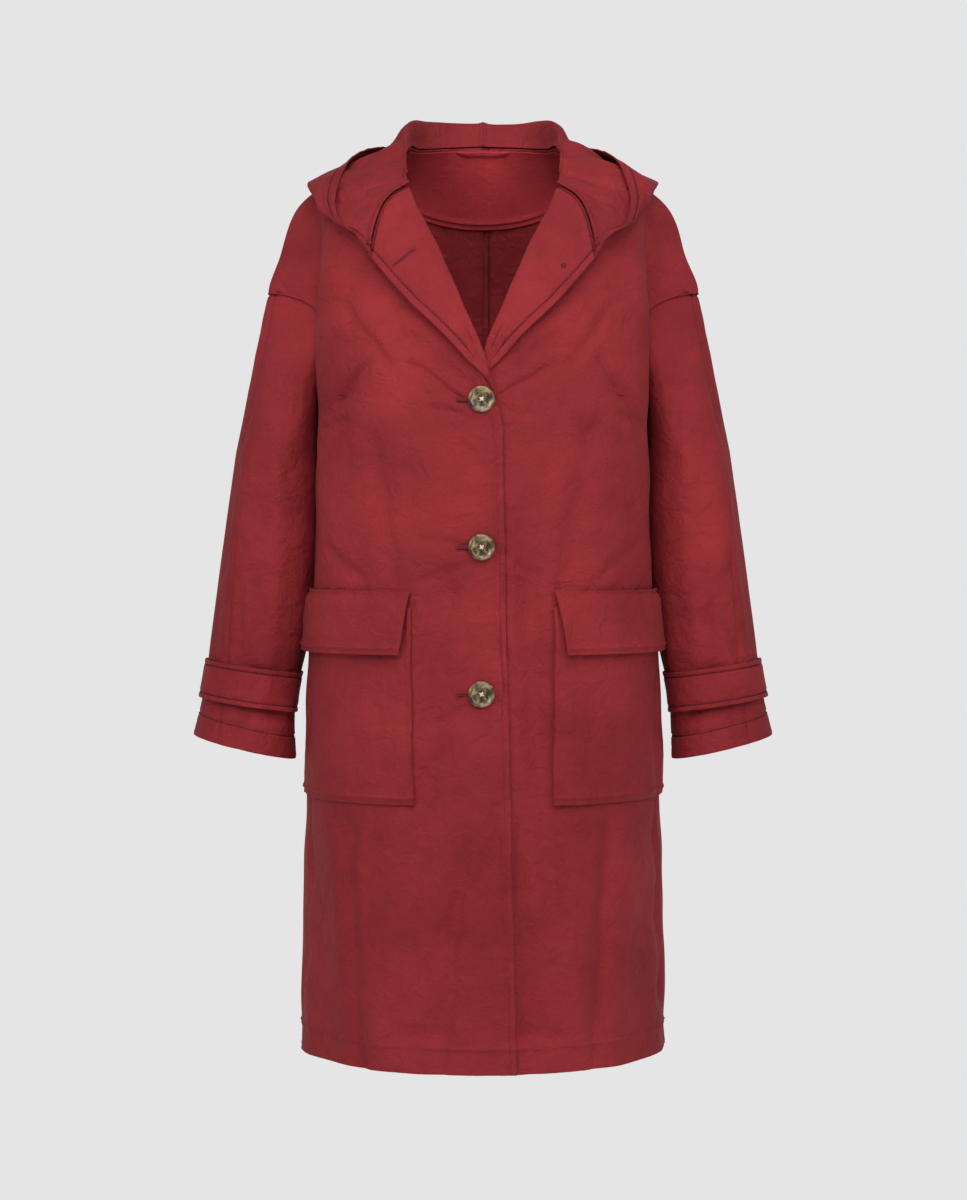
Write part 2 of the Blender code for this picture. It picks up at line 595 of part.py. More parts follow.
def back_neck_facing():
    """The half-moon facing inside the back neck."""
    share = np.linspace(0, 1, 5)[:, None]
    across = np.linspace(-1, 1, 19)[None, :]
    phi = 180 + across * 80
    deeper = (FACING_DEPTH_CENTRE - FACING_DEPTH_SIDE) * np.cos(0.5 * np.pi * across) ** 0.7
    depth = FACING_DEPTH_SIDE + deeper
    up = (NECK_UP - 0.003) - depth * share
    signed = np.where(phi > 180, phi - 360, phi)
    return on_body(up, signed, -(CLOTH + 3.5 * LAYER_GAP) * np.ones_like(phi * up))


def hanger_loop():
    """A narrow band hung across the back neck."""
    share = np.linspace(-1, 1, 9)[None, :]
    row = np.linspace(0, 1, 2)[:, None]
    half_phi = math.degrees(0.5 * LOOP_WIDTH / GIRTHS[-1].back)
    phi = 180 - share * half_phi * (1 - 0.14 * row)
    signed = np.where(phi > 180, phi - 360, phi)
    up = NECK_UP - LOOP_DROP - LOOP_HEIGHT * row
    clear = 2 * CLOTH + 6 * LAYER_GAP + 0.0015 * (1 - share**4)
    return on_body(up, signed, -clear * np.ones_like(phi * up))


def button(name, z, collection, finish):
    """A four-hole button with a raised rim, turned from its profile and lying on the upper front."""
    rim, lip, thick = BUTTON_RADIUS, 0.80 * BUTTON_RADIUS, BUTTON_THICKNESS
    outline = (
        (0.0, 0.0), (0.62 * rim, 0.0), (rim - 0.0006, 0.0008), (rim, 0.45 * thick),
        (rim - 0.0007, 0.90 * thick), (0.90 * rim, thick), (lip, 0.93 * thick),
        (0.66 * rim, 0.68 * thick), (0.0, 0.62 * thick),
    )
    profile = bmesh.new()
    corners = [profile.verts.new((x, 0, height)) for x, height in outline]
    for low, high in zip(corners, corners[1:]):
        profile.edges.new((low, high))
    mesh = bpy.data.meshes.new(name)
    profile.to_mesh(mesh)
    profile.free()
    made = bpy.data.objects.new(name, mesh)
    mesh.materials.append(finish)
    collection.objects.link(made)
    turned = made.modifiers.new("turned", "SCREW")
    turned.steps = turned.render_steps = 26
    turned.use_merge_vertices = True
    turned.merge_threshold = 0.00005
    turned.use_normal_calculate = True
    up = up_at_z(z)
    place = on_body(up, -0.6, 0.5 * CLOTH + BUTTON_LIFT)
    made.location = place
    made.rotation_euler = Vector(body_normal(up, -0.6)).to_track_quat("Z", "Y").to_euler()
    return made


def thread_holes(button_made, cutters):
    """Four round holes through a button."""
    for place in range(4):
        turn = math.radians(47 + 90 * place)
        hole = bmesh.new()
        bmesh.ops.create_cone(
            hole, cap_ends=True, segments=9, radius1=BUTTON_HOLE_RADIUS, radius2=BUTTON_HOLE_RADIUS,
            depth=4 * BUTTON_THICKNESS,
        )
        mesh = bpy.data.meshes.new(f"{button_made.name}_hole_{place}")
        hole.to_mesh(mesh)
        hole.free()
        cutter = bpy.data.objects.new(mesh.name, mesh)
        cutter.parent = button_made
        cutter.location = (BUTTON_HOLE_OFFSET * math.cos(turn), BUTTON_HOLE_OFFSET * math.sin(turn), 0)
        cutter.hide_render = True
        cutter.display_type = "WIRE"
        cutters.objects.link(cutter)
        cut = button_made.modifiers.new("thread_hole", "BOOLEAN")
        cut.operation = "DIFFERENCE"
        cut.solver = "EXACT"
        cut.object = cutter


# --- building ----------------------------------------------------------------------------------

def build():
    for old in list(bpy.data.objects):
        bpy.data.objects.remove(old, do_unlink=True)
    coat = bpy.data.collections.new("trench_coat")
    bpy.context.scene.collection.children.link(coat)
    cutters = bpy.data.collections.new("cutters")
    bpy.context.scene.collection.children.link(cutters)
    twill = material("twill", RED, 0.85)
    horn = material("horn", HORN, 0.35)
    for side, word in ((1, "left"), (-1, "right")):
        cloth(f"front_{word}", front_panel(side), CLOTH, coat, twill)
        cloth(f"back_{word}", back_panel(side), CLOTH, coat, twill)
        cloth(f"sleeve_front_{word}", sleeve_piece(side, True), CLOTH, coat, twill)
        cloth(f"sleeve_back_{word}", sleeve_piece(side, False), CLOTH, coat, twill)
        cloth(f"cuff_strap_{word}", cuff_strap(side), DOUBLE_CLOTH, coat, twill)
        cloth(f"pocket_{word}", pocket(side), CLOTH, coat, twill)
        cloth(f"pocket_flap_{word}", flap(side), DOUBLE_CLOTH, coat, twill)
        cloth(f"lapel_{word}", lapel(side), DOUBLE_CLOTH, coat, twill)
        cloth(f"hood_{word}", hood(side), CLOTH, coat, twill)
    cloth("back_neck_facing", back_neck_facing(), CLOTH, coat, twill)
    cloth("hanger_loop", hanger_loop(), CLOTH, coat, twill)
    for word, z in zip(("top", "middle", "bottom"), BUTTON_Z):
        thread_holes(button(f"button_{word}", z, coat, horn), cutters)


build()
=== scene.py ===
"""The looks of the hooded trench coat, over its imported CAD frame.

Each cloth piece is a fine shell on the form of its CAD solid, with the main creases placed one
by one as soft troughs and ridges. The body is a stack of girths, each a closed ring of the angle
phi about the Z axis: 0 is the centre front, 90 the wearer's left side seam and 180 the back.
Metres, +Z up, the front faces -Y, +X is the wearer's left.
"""
import math
from collections import namedtuple

import bpy
import numpy as np
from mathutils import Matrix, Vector


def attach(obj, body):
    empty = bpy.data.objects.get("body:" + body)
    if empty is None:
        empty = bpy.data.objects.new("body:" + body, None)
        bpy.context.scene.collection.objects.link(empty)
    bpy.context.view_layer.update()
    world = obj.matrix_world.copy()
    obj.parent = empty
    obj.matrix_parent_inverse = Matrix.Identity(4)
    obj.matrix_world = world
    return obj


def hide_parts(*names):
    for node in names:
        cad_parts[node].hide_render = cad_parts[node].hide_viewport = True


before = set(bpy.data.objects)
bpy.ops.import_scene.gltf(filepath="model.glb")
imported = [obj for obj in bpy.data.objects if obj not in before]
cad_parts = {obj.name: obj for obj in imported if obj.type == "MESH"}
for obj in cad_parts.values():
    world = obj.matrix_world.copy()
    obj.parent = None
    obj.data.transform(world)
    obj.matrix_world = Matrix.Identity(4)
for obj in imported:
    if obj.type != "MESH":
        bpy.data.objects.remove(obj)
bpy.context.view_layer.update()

# Cloth
CLOTH = 0.0012          # one folded-in layer of cotton twill, as it looks at an edge
DOUBLE_CLOTH = 0.0020   # two layers sewn together: lapels, flaps and straps
LAYER = 0.0004          # the air between two pieces that lie on each other
SEAM_DIP = 0.0016       # how far the cloth is pulled in at a seam
CELL = 0.0042           # the size of a cloth mesh's cells

# Sewing
STITCH = 0.0030         # one stitch and the gap after it
STITCH_LENGTH = 0.0023
THREAD_SIDES, TUBE_SIDES = 6, 10
THREAD = 0.00062
EDGE_STITCH = 0.0085    # from an edge to its topstitching
GORGE_STITCH = 0.0030
RIM_STITCH = 0.0120
STRAP_STITCH = 0.0055
POCKET_STITCH_FOOT, POCKET_STITCH_INNER, POCKET_STITCH_SIDE = 0.0080, 0.0030, 0.0040
FLAP_STITCH = 0.0070
FLAP_TOP_STITCH = 0.0016
FACING_STITCH = 0.0075
HOOD_BACK_STITCH = 0.0040
LOOP_STITCH = 0.0012
FELLED_SEAM = 0.0065    # from the centre back seam to the stitches that hold its turning
STITCH_DIP = 0.00180    # how far the stitches pull the cloth in
BELOW_LAPEL = 0.70      # the share of a front's edge that has topstitching
HEM_DEPTH = 0.028       # from the hem's edge to its stitches
CUFF_HEM_DEPTH = 0.025

# Fastening
OVERLAP_TOP, OVERLAP_FOOT = 0.0205, 0.0365   # from the centre front to either front edge
BUTTON_Z = (-0.243, -0.402, -0.560)
BUTTON_RADIUS = 0.0142
BUTTON_THICKNESS = 0.0042
BUTTON_HOLE_OFFSET = 0.0028
BUTTON_PHI = -0.6
BUTTON_SHANK = 0.0007
BUTTONHOLE_LENGTH = 0.013   # how much of each buttonhole shows beside its button
LAPEL_SLIT_OUTER, LAPEL_SLIT_INNER = (6.98, 0.855), (6.66, 0.465)   # lapel row and share
LAPEL_MARK, LAPEL_MARK_RADIUS = (6.70, 0.76), 0.0021
UNDER_LAP = 0.0030      # how far the under front is set back below the upper one
LAP_FADE_PHI, LAP_FADE = 50.0, 25.0
LAP_TOP_UP, LAP_FADE_UP = 0.815, 0.022
CROSSING_UP, CROSSING_HALF = 0.780, 0.030   # where the under lapel goes under the upper one
CROSSING_DEPTH, CROSSING_PHI = 0.0045, 12.0

# Pockets
POCKET_TOP, POCKET_FOOT = -0.467, -0.680
POCKET_INNER_X, POCKET_SIDE_PHI = 0.079, 88.0
FLAP_TOP, FLAP_FOOT = -0.449, -0.518
FLAP_INNER_X, FLAP_SIDE_PHI = 0.081, 87.0
FLAP_LIFT = 0.0040
FLAP_BAND = 0.0090      # the sewn-down band along a flap's top
FLAP_BAND_STITCH = FLAP_BAND - 0.0015

# Cuff straps, hanger loop and facing
STRAP_TOP, STRAP_FOOT = 0.808, 0.892
LOOP_WIDTH, LOOP_HEIGHT = 0.060, 0.0055
FACING_DEPTH_CENTRE, FACING_DEPTH_SIDE = 0.134, 0.030
HOOD_CLEAR = 0.0030

# About how long and wide the pieces are, which sets how many cells they have
FRONT_WIDTH, BACK_WIDTH, HALF_SLEEVE_WIDTH = 0.29, 0.27, 0.16
STRAP_LENGTH, STRAP_WIDTH = 0.34, 0.045
POCKET_LENGTH, POCKET_WIDTH, FLAP_LENGTH = 0.221, 0.155, 0.070
LAPEL_LENGTH, LAPEL_WIDTH = 0.25, 0.070
HOOD_LENGTH, HOOD_WIDTH, FACING_WIDTH = 0.42, 0.36, 0.30


def rows(kind, *table):
    """A table whose rows are named tuples."""
    return tuple(kind(*row) for row in table)


Girth = namedtuple(
    "Girth", "up z_front z_side z_back half_width front back squareness corner valley cap"
)
GIRTHS = rows(
    Girth,
    (0.000, -0.970, -0.966, -0.972, 0.2045, 0.166, 0.150, 2.30, 0.000, 0.000, 0.000),
    (0.170, -0.800, -0.797, -0.802, 0.2020, 0.160, 0.142, 2.35, 0.000, 0.000, 0.000),
    (0.320, -0.650, -0.650, -0.650, 0.1970, 0.154, 0.134, 2.40, 0.000, 0.000, 0.000),
    (0.490, -0.480, -0.480, -0.480, 0.1905, 0.149, 0.122, 2.50, 0.002, 0.000, 0.000),
    (0.620, -0.350, -0.350, -0.350, 0.1870, 0.150, 0.120, 2.60, 0.004, 0.001, 0.000),
    (0.735, -0.240, -0.235, -0.235, 0.1850, 0.150, 0.122, 2.70, 0.007, 0.003, 0.000),
    (0.800, -0.185, -0.168, -0.155, 0.1850, 0.145, 0.124, 2.70, 0.009, 0.007, 0.019),
    (0.860, -0.145, -0.118, -0.095, 0.1850, 0.134, 0.122, 2.70, 0.009, 0.009, 0.058),
    (0.900, -0.115, -0.075, -0.055, 0.1840, 0.124, 0.116, 2.65, 0.006, 0.006, 0.044),
    (0.945, -0.090, -0.022, -0.018, 0.1825, 0.113, 0.106, 2.55, 0.002, 0.002, 0.025),
    (0.985, -0.072, 0.008, 0.010, 0.1660, 0.102, 0.095, 2.40, 0.000, 0.000, 0.000),
    (1.025, -0.055, 0.028, 0.034, 0.1180, 0.089, 0.084, 2.20, 0.000, 0.000, 0.000),
    (1.060, -0.045, 0.046, 0.055, 0.0820, 0.074, 0.074, 2.00, 0.000, 0.000, 0.000),
)
UNDERARM_UP, SLEEVE_HEAD_UP, NECK_UP = 0.735, 0.860, 1.060
ARMHOLE_MIDDLE = 0.5 * (UNDERARM_UP + SLEEVE_HEAD_UP)
ARMHOLE_HALF = 0.5 * (SLEEVE_HEAD_UP - UNDERARM_UP)
CORNER_PHI, CORNER_SPREAD = 66.0, 9.0
VALLEY_PHI, VALLEY_SPREAD = 78.0, 5.0
CAP_PHI, CAP_SPREAD = 92.0, 8.5
ARMHOLE_FRONT_PHI, ARMHOLE_BACK_PHI = 12.0, 19.0

RollPoint = namedtuple("RollPoint", "up phi")
ROLL_LINE = rows(
    RollPoint,
    (0.700, 8.0),
    (0.738, 5.3),
    (0.770, 2.4),
    (0.797, -0.6),
    (0.841, -5.9),
    (0.885, -12.5),
    (0.917, -18.2),
    (0.960, -26.5),
    (0.995, -37.0),
    (1.022, -49.5),
    (1.045, -68.0),
    (1.060, -90.0),
)

# The largest folds, a little deeper than in the solids: each a soft trough along a line on the
# body, from an angle and a height to another. A minus depth is a ridge.
Crease = namedtuple("Crease", "phi_from z_from phi_to z_to width depth")
LARGE_CREASES = rows(
    Crease,
    (-17, -0.450, -29, -0.790, 0.017, 0.0069),
    (-24, -0.480, -36, -0.900, 0.020, -0.0050),
    (19, -0.440, 27, -0.780, 0.016, 0.0075),
    (27, -0.500, 34, -0.880, 0.020, -0.0050),
    (3, -0.735, -15, -0.815, 0.014, 0.0044),
    (-43, -0.290, -35, -0.440, 0.013, 0.0050),
    (42, -0.285, 33, -0.440, 0.013, 0.0050),
    (-31, -0.178, -7, -0.228, 0.012, 0.0050),
    (28, -0.180, 9, -0.222, 0.011, 0.0044),
    (-63, -0.255, -54, -0.232, 0.013, 0.0075),
    (63, -0.255, 54, -0.232, 0.013, 0.0075),
    (-68, -0.760, -60, -0.940, 0.028, 0.0075),
    (68, -0.750, 61, -0.940, 0.028, 0.0075),
    (-20, -0.928, -27, -0.930, 0.010, 0.0037),
    (15, -0.925, 26, -0.930, 0.010, 0.0044),
    (-158, -0.330, -150, -0.850, 0.022, 0.0075),
    (155, -0.380, 147, -0.900, 0.020, 0.0069),
    (-126, -0.270, -133, -0.700, 0.018, 0.0075),
    (127, -0.260, 135, -0.640, 0.018, 0.0069),
    (-172, -0.560, -168, -0.940, 0.020, -0.0063),
    (170, -0.600, 165, -0.945, 0.020, -0.0063),
    (-106, -0.620, -112, -0.940, 0.024, -0.0056),
    (107, -0.640, 114, -0.940, 0.024, -0.0056),
)
CREASE_GIRTH_RADIUS = 0.165

# Smaller folds, which the solids leave out. steep is how much sharper the fold is on one side.
FineCrease = namedtuple("FineCrease", "phi_from z_from phi_to z_to width depth steep")
FINE_CREASES = rows(
    FineCrease,
    (6, -0.415, 13, -0.560, 0.0080, 0.0037, 0.4),
    (5, -0.470, 9, -0.555, 0.0060, 0.0029, -0.3),
    (-29, -0.205, -9, -0.240, 0.0060, 0.0042, 0.5),
    (26, -0.205, 8, -0.236, 0.0060, 0.0037, -0.5),
    (-20, -0.250, -5, -0.262, 0.0050, 0.0024, 0.4),
    (20, -0.262, 6, -0.250, 0.0050, 0.0024, 0.4),
    (-22, -0.395, -4, -0.402, 0.0060, 0.0029, 0.3),
    (-30, -0.440, -6, -0.418, 0.0070, 0.0024, 0.3),
    (22, -0.430, 7, -0.408, 0.0060, 0.0024, 0.3),
    (-18, -0.590, -4, -0.568, 0.0070, 0.0033, 0.3),
    (19, -0.600, 7, -0.572, 0.0070, 0.0029, 0.3),
    (-58, -0.240, -46, -0.205, 0.0060, 0.0042, 0.5),
    (-66, -0.270, -55, -0.262, 0.0070, 0.0037, 0.5),
    (58, -0.240, 46, -0.205, 0.0060, 0.0042, 0.5),
    (66, -0.270, 55, -0.262, 0.0070, 0.0037, 0.5),
    (-62, -0.405, -50, -0.430, 0.0080, 0.0033, 0.3),
    (61, -0.400, 49, -0.428, 0.0080, 0.0033, 0.3),
    (-50, -0.720, -44, -0.955, 0.0120, 0.0051, 0.4),
    (47, -0.710, 41, -0.955, 0.0120, 0.0046, -0.4),
    (-8, -0.740, -14, -0.950, 0.0120, 0.0046, 0.3),
    (14, -0.700, 17, -0.950, 0.0120, 0.0051, -0.3),
    (0, -0.780, -22, -0.865, 0.0080, 0.0037, 0.4),
    (-52, -0.150, -38, -0.200, 0.0090, 0.0033, 0.3),
    (52, -0.145, 36, -0.205, 0.0090, 0.0033, 0.3),
    (-75, -0.560, -78, -0.900, 0.0110, 0.0046, 0.3),
    (76, -0.560, 79, -0.900, 0.0110, 0.0046, 0.3),
    (-140, -0.200, -150, -0.420, 0.0110, 0.0051, 0.4),
    (142, -0.210, 152, -0.450, 0.0110, 0.0051, -0.4),
    (-118, -0.245, -132, -0.275, 0.0080, 0.0046, 0.4),
    (118, -0.240, 131, -0.272, 0.0080, 0.0046, 0.4),
    (-163, -0.640, -158, -0.950, 0.0110, 0.0051, 0.3),
    (160, -0.660, 156, -0.950, 0.0110, 0.0046, 0.3),
    (-145, -0.500, -141, -0.940, 0.0120, 0.0051, -0.3),
    (140, -0.540, 137, -0.940, 0.0120, 0.0046, -0.3),
    (-98, -0.330, -101, -0.560, 0.0100, 0.0042, 0.3),
    (99, -0.320, 102, -0.560, 0.0100, 0.0042, 0.3),
)

SleeveRing = namedtuple("SleeveRing", "along x y z half_width half_depth tilt seam")
SLEEVE_RINGS = rows(
    SleeveRing,
    (0.36, 0.2325, 0.014, -0.300, 0.0465, 0.066, 6.0, 30.0),
    (0.56, 0.2400, 0.011, -0.400, 0.0530, 0.061, 7.0, 44.0),
    (0.76, 0.2535, 0.006, -0.510, 0.0540, 0.056, 8.0, 55.0),
    (0.86, 0.2630, 0.003, -0.565, 0.0515, 0.054, 8.5, 60.0),
    (1.00, 0.2700, 0.000, -0.628, 0.0585, 0.058, 13.6, 62.0),
)
SEAM_AT_HEAD = 6.0
UNDERARM_SEAM = 190.0
SLEEVE_LENGTH = 0.52
SLEEVE_FULLNESS = 0.0008
SLEEVE_TURNING = 0.0080    # the sleeve head's turning, under the body's edge
SleeveFold = namedtuple("SleeveFold", "angle_from along_from angle_to along_to width depth")
SLEEVE_FOLDS = rows(
    SleeveFold,
    (75, 0.30, 92, 0.84, 0.16, 0.0050),
    (118, 0.40, 126, 0.80, 0.14, 0.0040),
    (250, 0.15, 262, 0.75, 0.16, 0.0050),
    (300, 0.30, 312, 0.84, 0.15, 0.0045),
    (100, 0.82, 128, 0.90, 0.13, 0.0040),
)
# Smaller folds of each sleeve, by side, so that the two differ
FINE_SLEEVE_FOLDS = {
    1: rows(
        SleeveFold,
        (60, 0.08, 96, 0.20, 0.09, 0.0031),
        (70, 0.22, 110, 0.34, 0.08, 0.0022),
        (46, 0.60, 92, 0.72, 0.08, 0.0021),
        (60, 0.78, 66, 0.70, 0.06, 0.0028),
        (20, 0.30, 28, 0.78, 0.12, 0.0022),
        (230, 0.08, 268, 0.22, 0.09, 0.0031),
        (225, 0.50, 262, 0.62, 0.09, 0.0028),
        (330, 0.40, 338, 0.78, 0.10, 0.0022),
        (80, 0.92, 74, 0.99, 0.09, 0.0025),
    ),
    -1: rows(
        SleeveFold,
        (56, 0.07, 100, 0.22, 0.09, 0.0034),
        (78, 0.26, 112, 0.40, 0.08, 0.0022),
        (52, 0.56, 96, 0.70, 0.09, 0.0022),
        (72, 0.79, 62, 0.66, 0.06, 0.0031),
        (24, 0.36, 30, 0.79, 0.12, 0.0022),
        (236, 0.10, 270, 0.20, 0.09, 0.0031),
        (228, 0.54, 266, 0.70, 0.09, 0.0028),
        (326, 0.34, 334, 0.74, 0.10, 0.0025),
        (92, 0.92, 88, 1.00, 0.09, 0.0028),
    ),
}

LapelRow = namedtuple("LapelRow", "roll_up edge_up edge_phi lift")
LAPEL_ROWS = rows(
    LapelRow,
    (0.7450, 0.7430, 4.0, 0.0025),
    (0.7620, 0.7560, 1.6, 0.0024),
    (0.7800, 0.7668, -1.8, 0.0030),
    (0.8020, 0.7795, -6.6, 0.0045),
    (0.8450, 0.8060, -14.6, 0.0065),
    (0.8900, 0.8330, -22.9, 0.0080),
    (0.9400, 0.8610, -32.4, 0.0090),
    (0.9850, 0.8830, -40.4, 0.0100),
    (1.0235, 0.9040, -48.4, 0.0105),
)
UNDER_LAPEL_START = 2.0

HoodRow = namedtuple("HoodRow", "neck_up neck_phi roll inner fold outer rim")
HOOD_ROWS = rows(
    HoodRow,
    (1.034, 59, (85, -50, 13), (107, -80, -13), (138, -102, -46), (139, -109, -57), (137, -118, -64)),
    (1.045, 70, (86, -27, 34), (118, -58, 4), (163, -82, -37), (164, -91, -45), (156, -104, -47)),
    (1.060, 90, (86, 0, 57), (124, -20, 34), (193, -31, 0), (181, -53, -5), (162, -69, -14)),
    (1.060, 112, (77, 36, 76), (112, 26, 48), (191, 26, 3), (160, -4, 24), (148, -22, 31)),
    (1.060, 132, (60, 63, 80), (98, 72, 50), (176, 82, -33), (134, 62, 33), (116, 30, 51)),
    (1.060, 154, (36, 84, 83), (64, 110, 30), (120, 133, -112), (110, 142, 4), (95, 96, 52)),
    (1.060, 180, (0, 92, 85), (0, 120, 5), (0, 143, -180), (0, 172, -75), (0, 158, 34)),
)
HoodFold = namedtuple("HoodFold", "station_from share_from station_to share_to width depth")
HOOD_FOLDS = {
    1: rows(
        HoodFold,
        (1.2, 0.16, 2.6, 0.50, 0.30, 0.0048),
        (2.2, 0.14, 3.6, 0.46, 0.26, 0.0045),
        (3.2, 0.18, 4.6, 0.44, 0.30, 0.0048),
        (1.0, 0.34, 2.0, 0.54, 0.22, 0.0032),
        (4.4, 0.72, 5.8, 0.90, 0.30, 0.0048),
        (5.0, 0.66, 6.6, 0.78, 0.30, 0.0048),
        (2.6, 0.70, 3.4, 0.86, 0.20, 0.0032),
    ),
    -1: rows(
        HoodFold,
        (1.0, 0.16, 2.3, 0.52, 0.28, 0.0051),
        (1.9, 0.13, 3.2, 0.48, 0.26, 0.0042),
        (3.0, 0.16, 4.3, 0.46, 0.30, 0.0051),
        (1.4, 0.40, 2.6, 0.58, 0.20, 0.0032),
        (4.2, 0.74, 5.6, 0.88, 0.30, 0.0048),
        (4.8, 0.64, 6.4, 0.80, 0.28, 0.0048),
        (2.4, 0.72, 3.2, 0.84, 0.22, 0.0035),
    ),
}
HOOD_STATION_LENGTH, HOOD_SHARE_LENGTH = 0.055, 0.42   # turn its two parameters into lengths


# --- small tools -------------------------------------------------------------------------------

def smooth_through(knots, values, at):
    """A smooth curve through values at the knots, read at the given places."""
    knots, values = np.asarray(knots, float), np.asarray(values, float)
    at = np.clip(np.asarray(at, float), knots[0], knots[-1])
    steps = np.diff(knots)
    slopes = np.diff(values, axis=0) / steps.reshape((-1,) + (1,) * (values.ndim - 1))
    tangents = np.empty_like(values)
    tangents[0], tangents[-1] = slopes[0], slopes[-1]
    weight = (steps[1:] / (steps[1:] + steps[:-1])).reshape((-1,) + (1,) * (values.ndim - 1))
    tangents[1:-1] = slopes[:-1] * weight + slopes[1:] * (1 - weight)
    i = np.clip(np.searchsorted(knots, at, side="right") - 1, 0, len(steps) - 1)
    shape = at.shape + (1,) * (values.ndim - 1)
    h = steps[i].reshape(shape)
    t = ((at - knots[i]) / steps[i]).reshape(shape)
    return (
        values[i] * (2 * t**3 - 3 * t**2 + 1)
        + tangents[i] * h * (t**3 - 2 * t**2 + t)
        + values[i + 1] * (3 * t**2 - 2 * t**3)
        + tangents[i + 1] * h * (t**3 - t**2)
    )


def bump(x):
    """1 at 0, falling smoothly to nothing past about 2."""
    return np.exp(-np.square(x))


def ripple(u, v, size, seed):
    """Smooth unevenness between about -1 and 1, with features of that size, over u and v."""
    random = np.random.default_rng(seed)
    total = np.zeros(np.broadcast(u, v).shape)
    waves = 9
    for _ in range(waves):
        turn, phase = random.uniform(0, np.pi), random.uniform(0, 2 * np.pi)
        rate = 2 * np.pi / (size * random.uniform(0.7, 1.6))
        total += np.sin(rate * (u * math.cos(turn) + v * math.sin(turn)) + phase)
    return total / math.sqrt(waves)


def normals_of(surface, a, b, step_a, step_b):
    """Unit normals of surface(a, b), by small steps along each parameter."""
    along_a = surface(a + step_a, b) - surface(a - step_a, b)
    along_b = surface(a, b + step_b) - surface(a, b - step_b)
    normal = np.cross(along_a, along_b)
    return normal / np.linalg.norm(normal, axis=-1, keepdims=True)


def with_margins(count, length, margin=0.0012):
    """Even shares from 0 to 1 with one more close to each end, so that an edge shades crisply."""
    inner = np.linspace(0, 1, max(int(count), 4))
    close = margin / length
    return np.concatenate([[0, close], inner[1:-1], [1 - close, 1]])


def places(length, first=(), last=()):
    """Shares from 0 to 1 about CELL apart, closer at both ends and round rows of stitches, which lie at
    distances from the first or the last end."""
    close = np.array([-0.0022, -0.0011, 0.0, 0.0011, 0.0022])
    extra = [d + close for d in first] + [length - d + close for d in last]
    extra = np.concatenate(extra) if extra else np.zeros(0)
    even = with_margins(max(int(length / CELL), 4), length) * length
    if len(extra):
        apart = np.abs(even[:, None] - extra[None, :]).min(axis=1)
        even = even[(apart > 0.0017) | (even <= 0) | (even >= length)]
    inside = extra[(extra > 0.0002) & (extra < length - 0.0002)]
    return np.unique(np.concatenate([even, inside])) / length


def even_ends(share, length, widths):
    """Shares moved so that those near both ends keep their distance in rows of other widths."""
    ratio = length / widths
    near_first = np.clip((0.30 - share) / 0.18, 0, 1)
    near_last = np.clip((share - 0.70) / 0.18, 0, 1)
    from_first, from_last = share * ratio, 1 - (1 - share) * ratio
    return share + (from_first - share) * near_first + (from_last - share) * near_last


def width_of(surface, start, end):
    """The length of each row of a surface between two values of its second parameter."""
    points = surface(start + (end - start) * np.linspace(0, 1, 48)[None, :])
    return np.linalg.norm(np.diff(points, axis=1), axis=-1).sum(axis=1, keepdims=True)


def by_line(u, v, start, end):
    """Places (u, v) against a line: their share along it, how far off it and past its ends they
    are, and its length."""
    run = (end[0] - start[0], end[1] - start[1])
    length = math.hypot(*run)
    share = ((u - start[0]) * run[0] + (v - start[1]) * run[1]) / length**2
    off_line = ((u - start[0]) * run[1] - (v - start[1]) * run[0]) / length
    return share, off_line, np.maximum(np.maximum(-share, share - 1), 0) * length, length


def read_along(at, knots, points):
    """Points read along a path, between those at the knots."""
    return np.stack([np.interp(at, knots, points[:, i]) for i in range(3)], axis=-1)


def run_lengths(points, axis):
    """How far each point of a grid or path is from the first one along an axis."""
    steps = np.cumsum(np.linalg.norm(np.diff(points, axis=axis), axis=-1), axis=axis)
    start = np.zeros_like(np.take(steps, [0], axis=axis))
    return np.concatenate([start, steps], axis=axis)


def mirrored(points, side):
    """A grid made for the wearer's left (+X), or its mirror image for the right."""
    return points if side > 0 else points * np.array([-1, 1, 1])


# --- the body ----------------------------------------------------------------------------------

def girth_at(up):
    """Every column of GIRTHS at the given places along the cloth, as a Girth of arrays."""
    table = np.array(GIRTHS)
    return Girth(*np.moveaxis(smooth_through(table[:, 0], table, up), -1, 0))


def crease_depth(phi, z):
    """How far the folds pull the cloth in at phi degrees and height z."""
    across = np.radians(phi) * CREASE_GIRTH_RADIUS
    total = np.zeros(np.broadcast(phi, z).shape)
    for crease in LARGE_CREASES + FINE_CREASES:
        start = (math.radians(crease.phi_from) * CREASE_GIRTH_RADIUS, crease.z_from)
        end = (math.radians(crease.phi_to) * CREASE_GIRTH_RADIUS, crease.z_to)
        share, off_line, past_end, length = by_line(across, z, start, end)
        fade = bump(past_end / (1.6 * crease.width))
        if isinstance(crease, FineCrease):
            seed = int(1000 * crease.width)
            wander = 0.25 * crease.width * ripple(share * length, 0.0, 0.06, seed)
            width = crease.width * (1 + crease.steep * np.sign(off_line))
            reach = (off_line + wander) / width
            total += crease.depth * (1 - 0.8 * reach**2) * bump(reach) * fade
        else:
            total += crease.depth * bump(off_line / crease.width) * fade
    return total + 0.0010 * ripple(across, z, 0.10, 3) + 0.00040 * ripple(across, 0.6 * z, 0.030, 4)


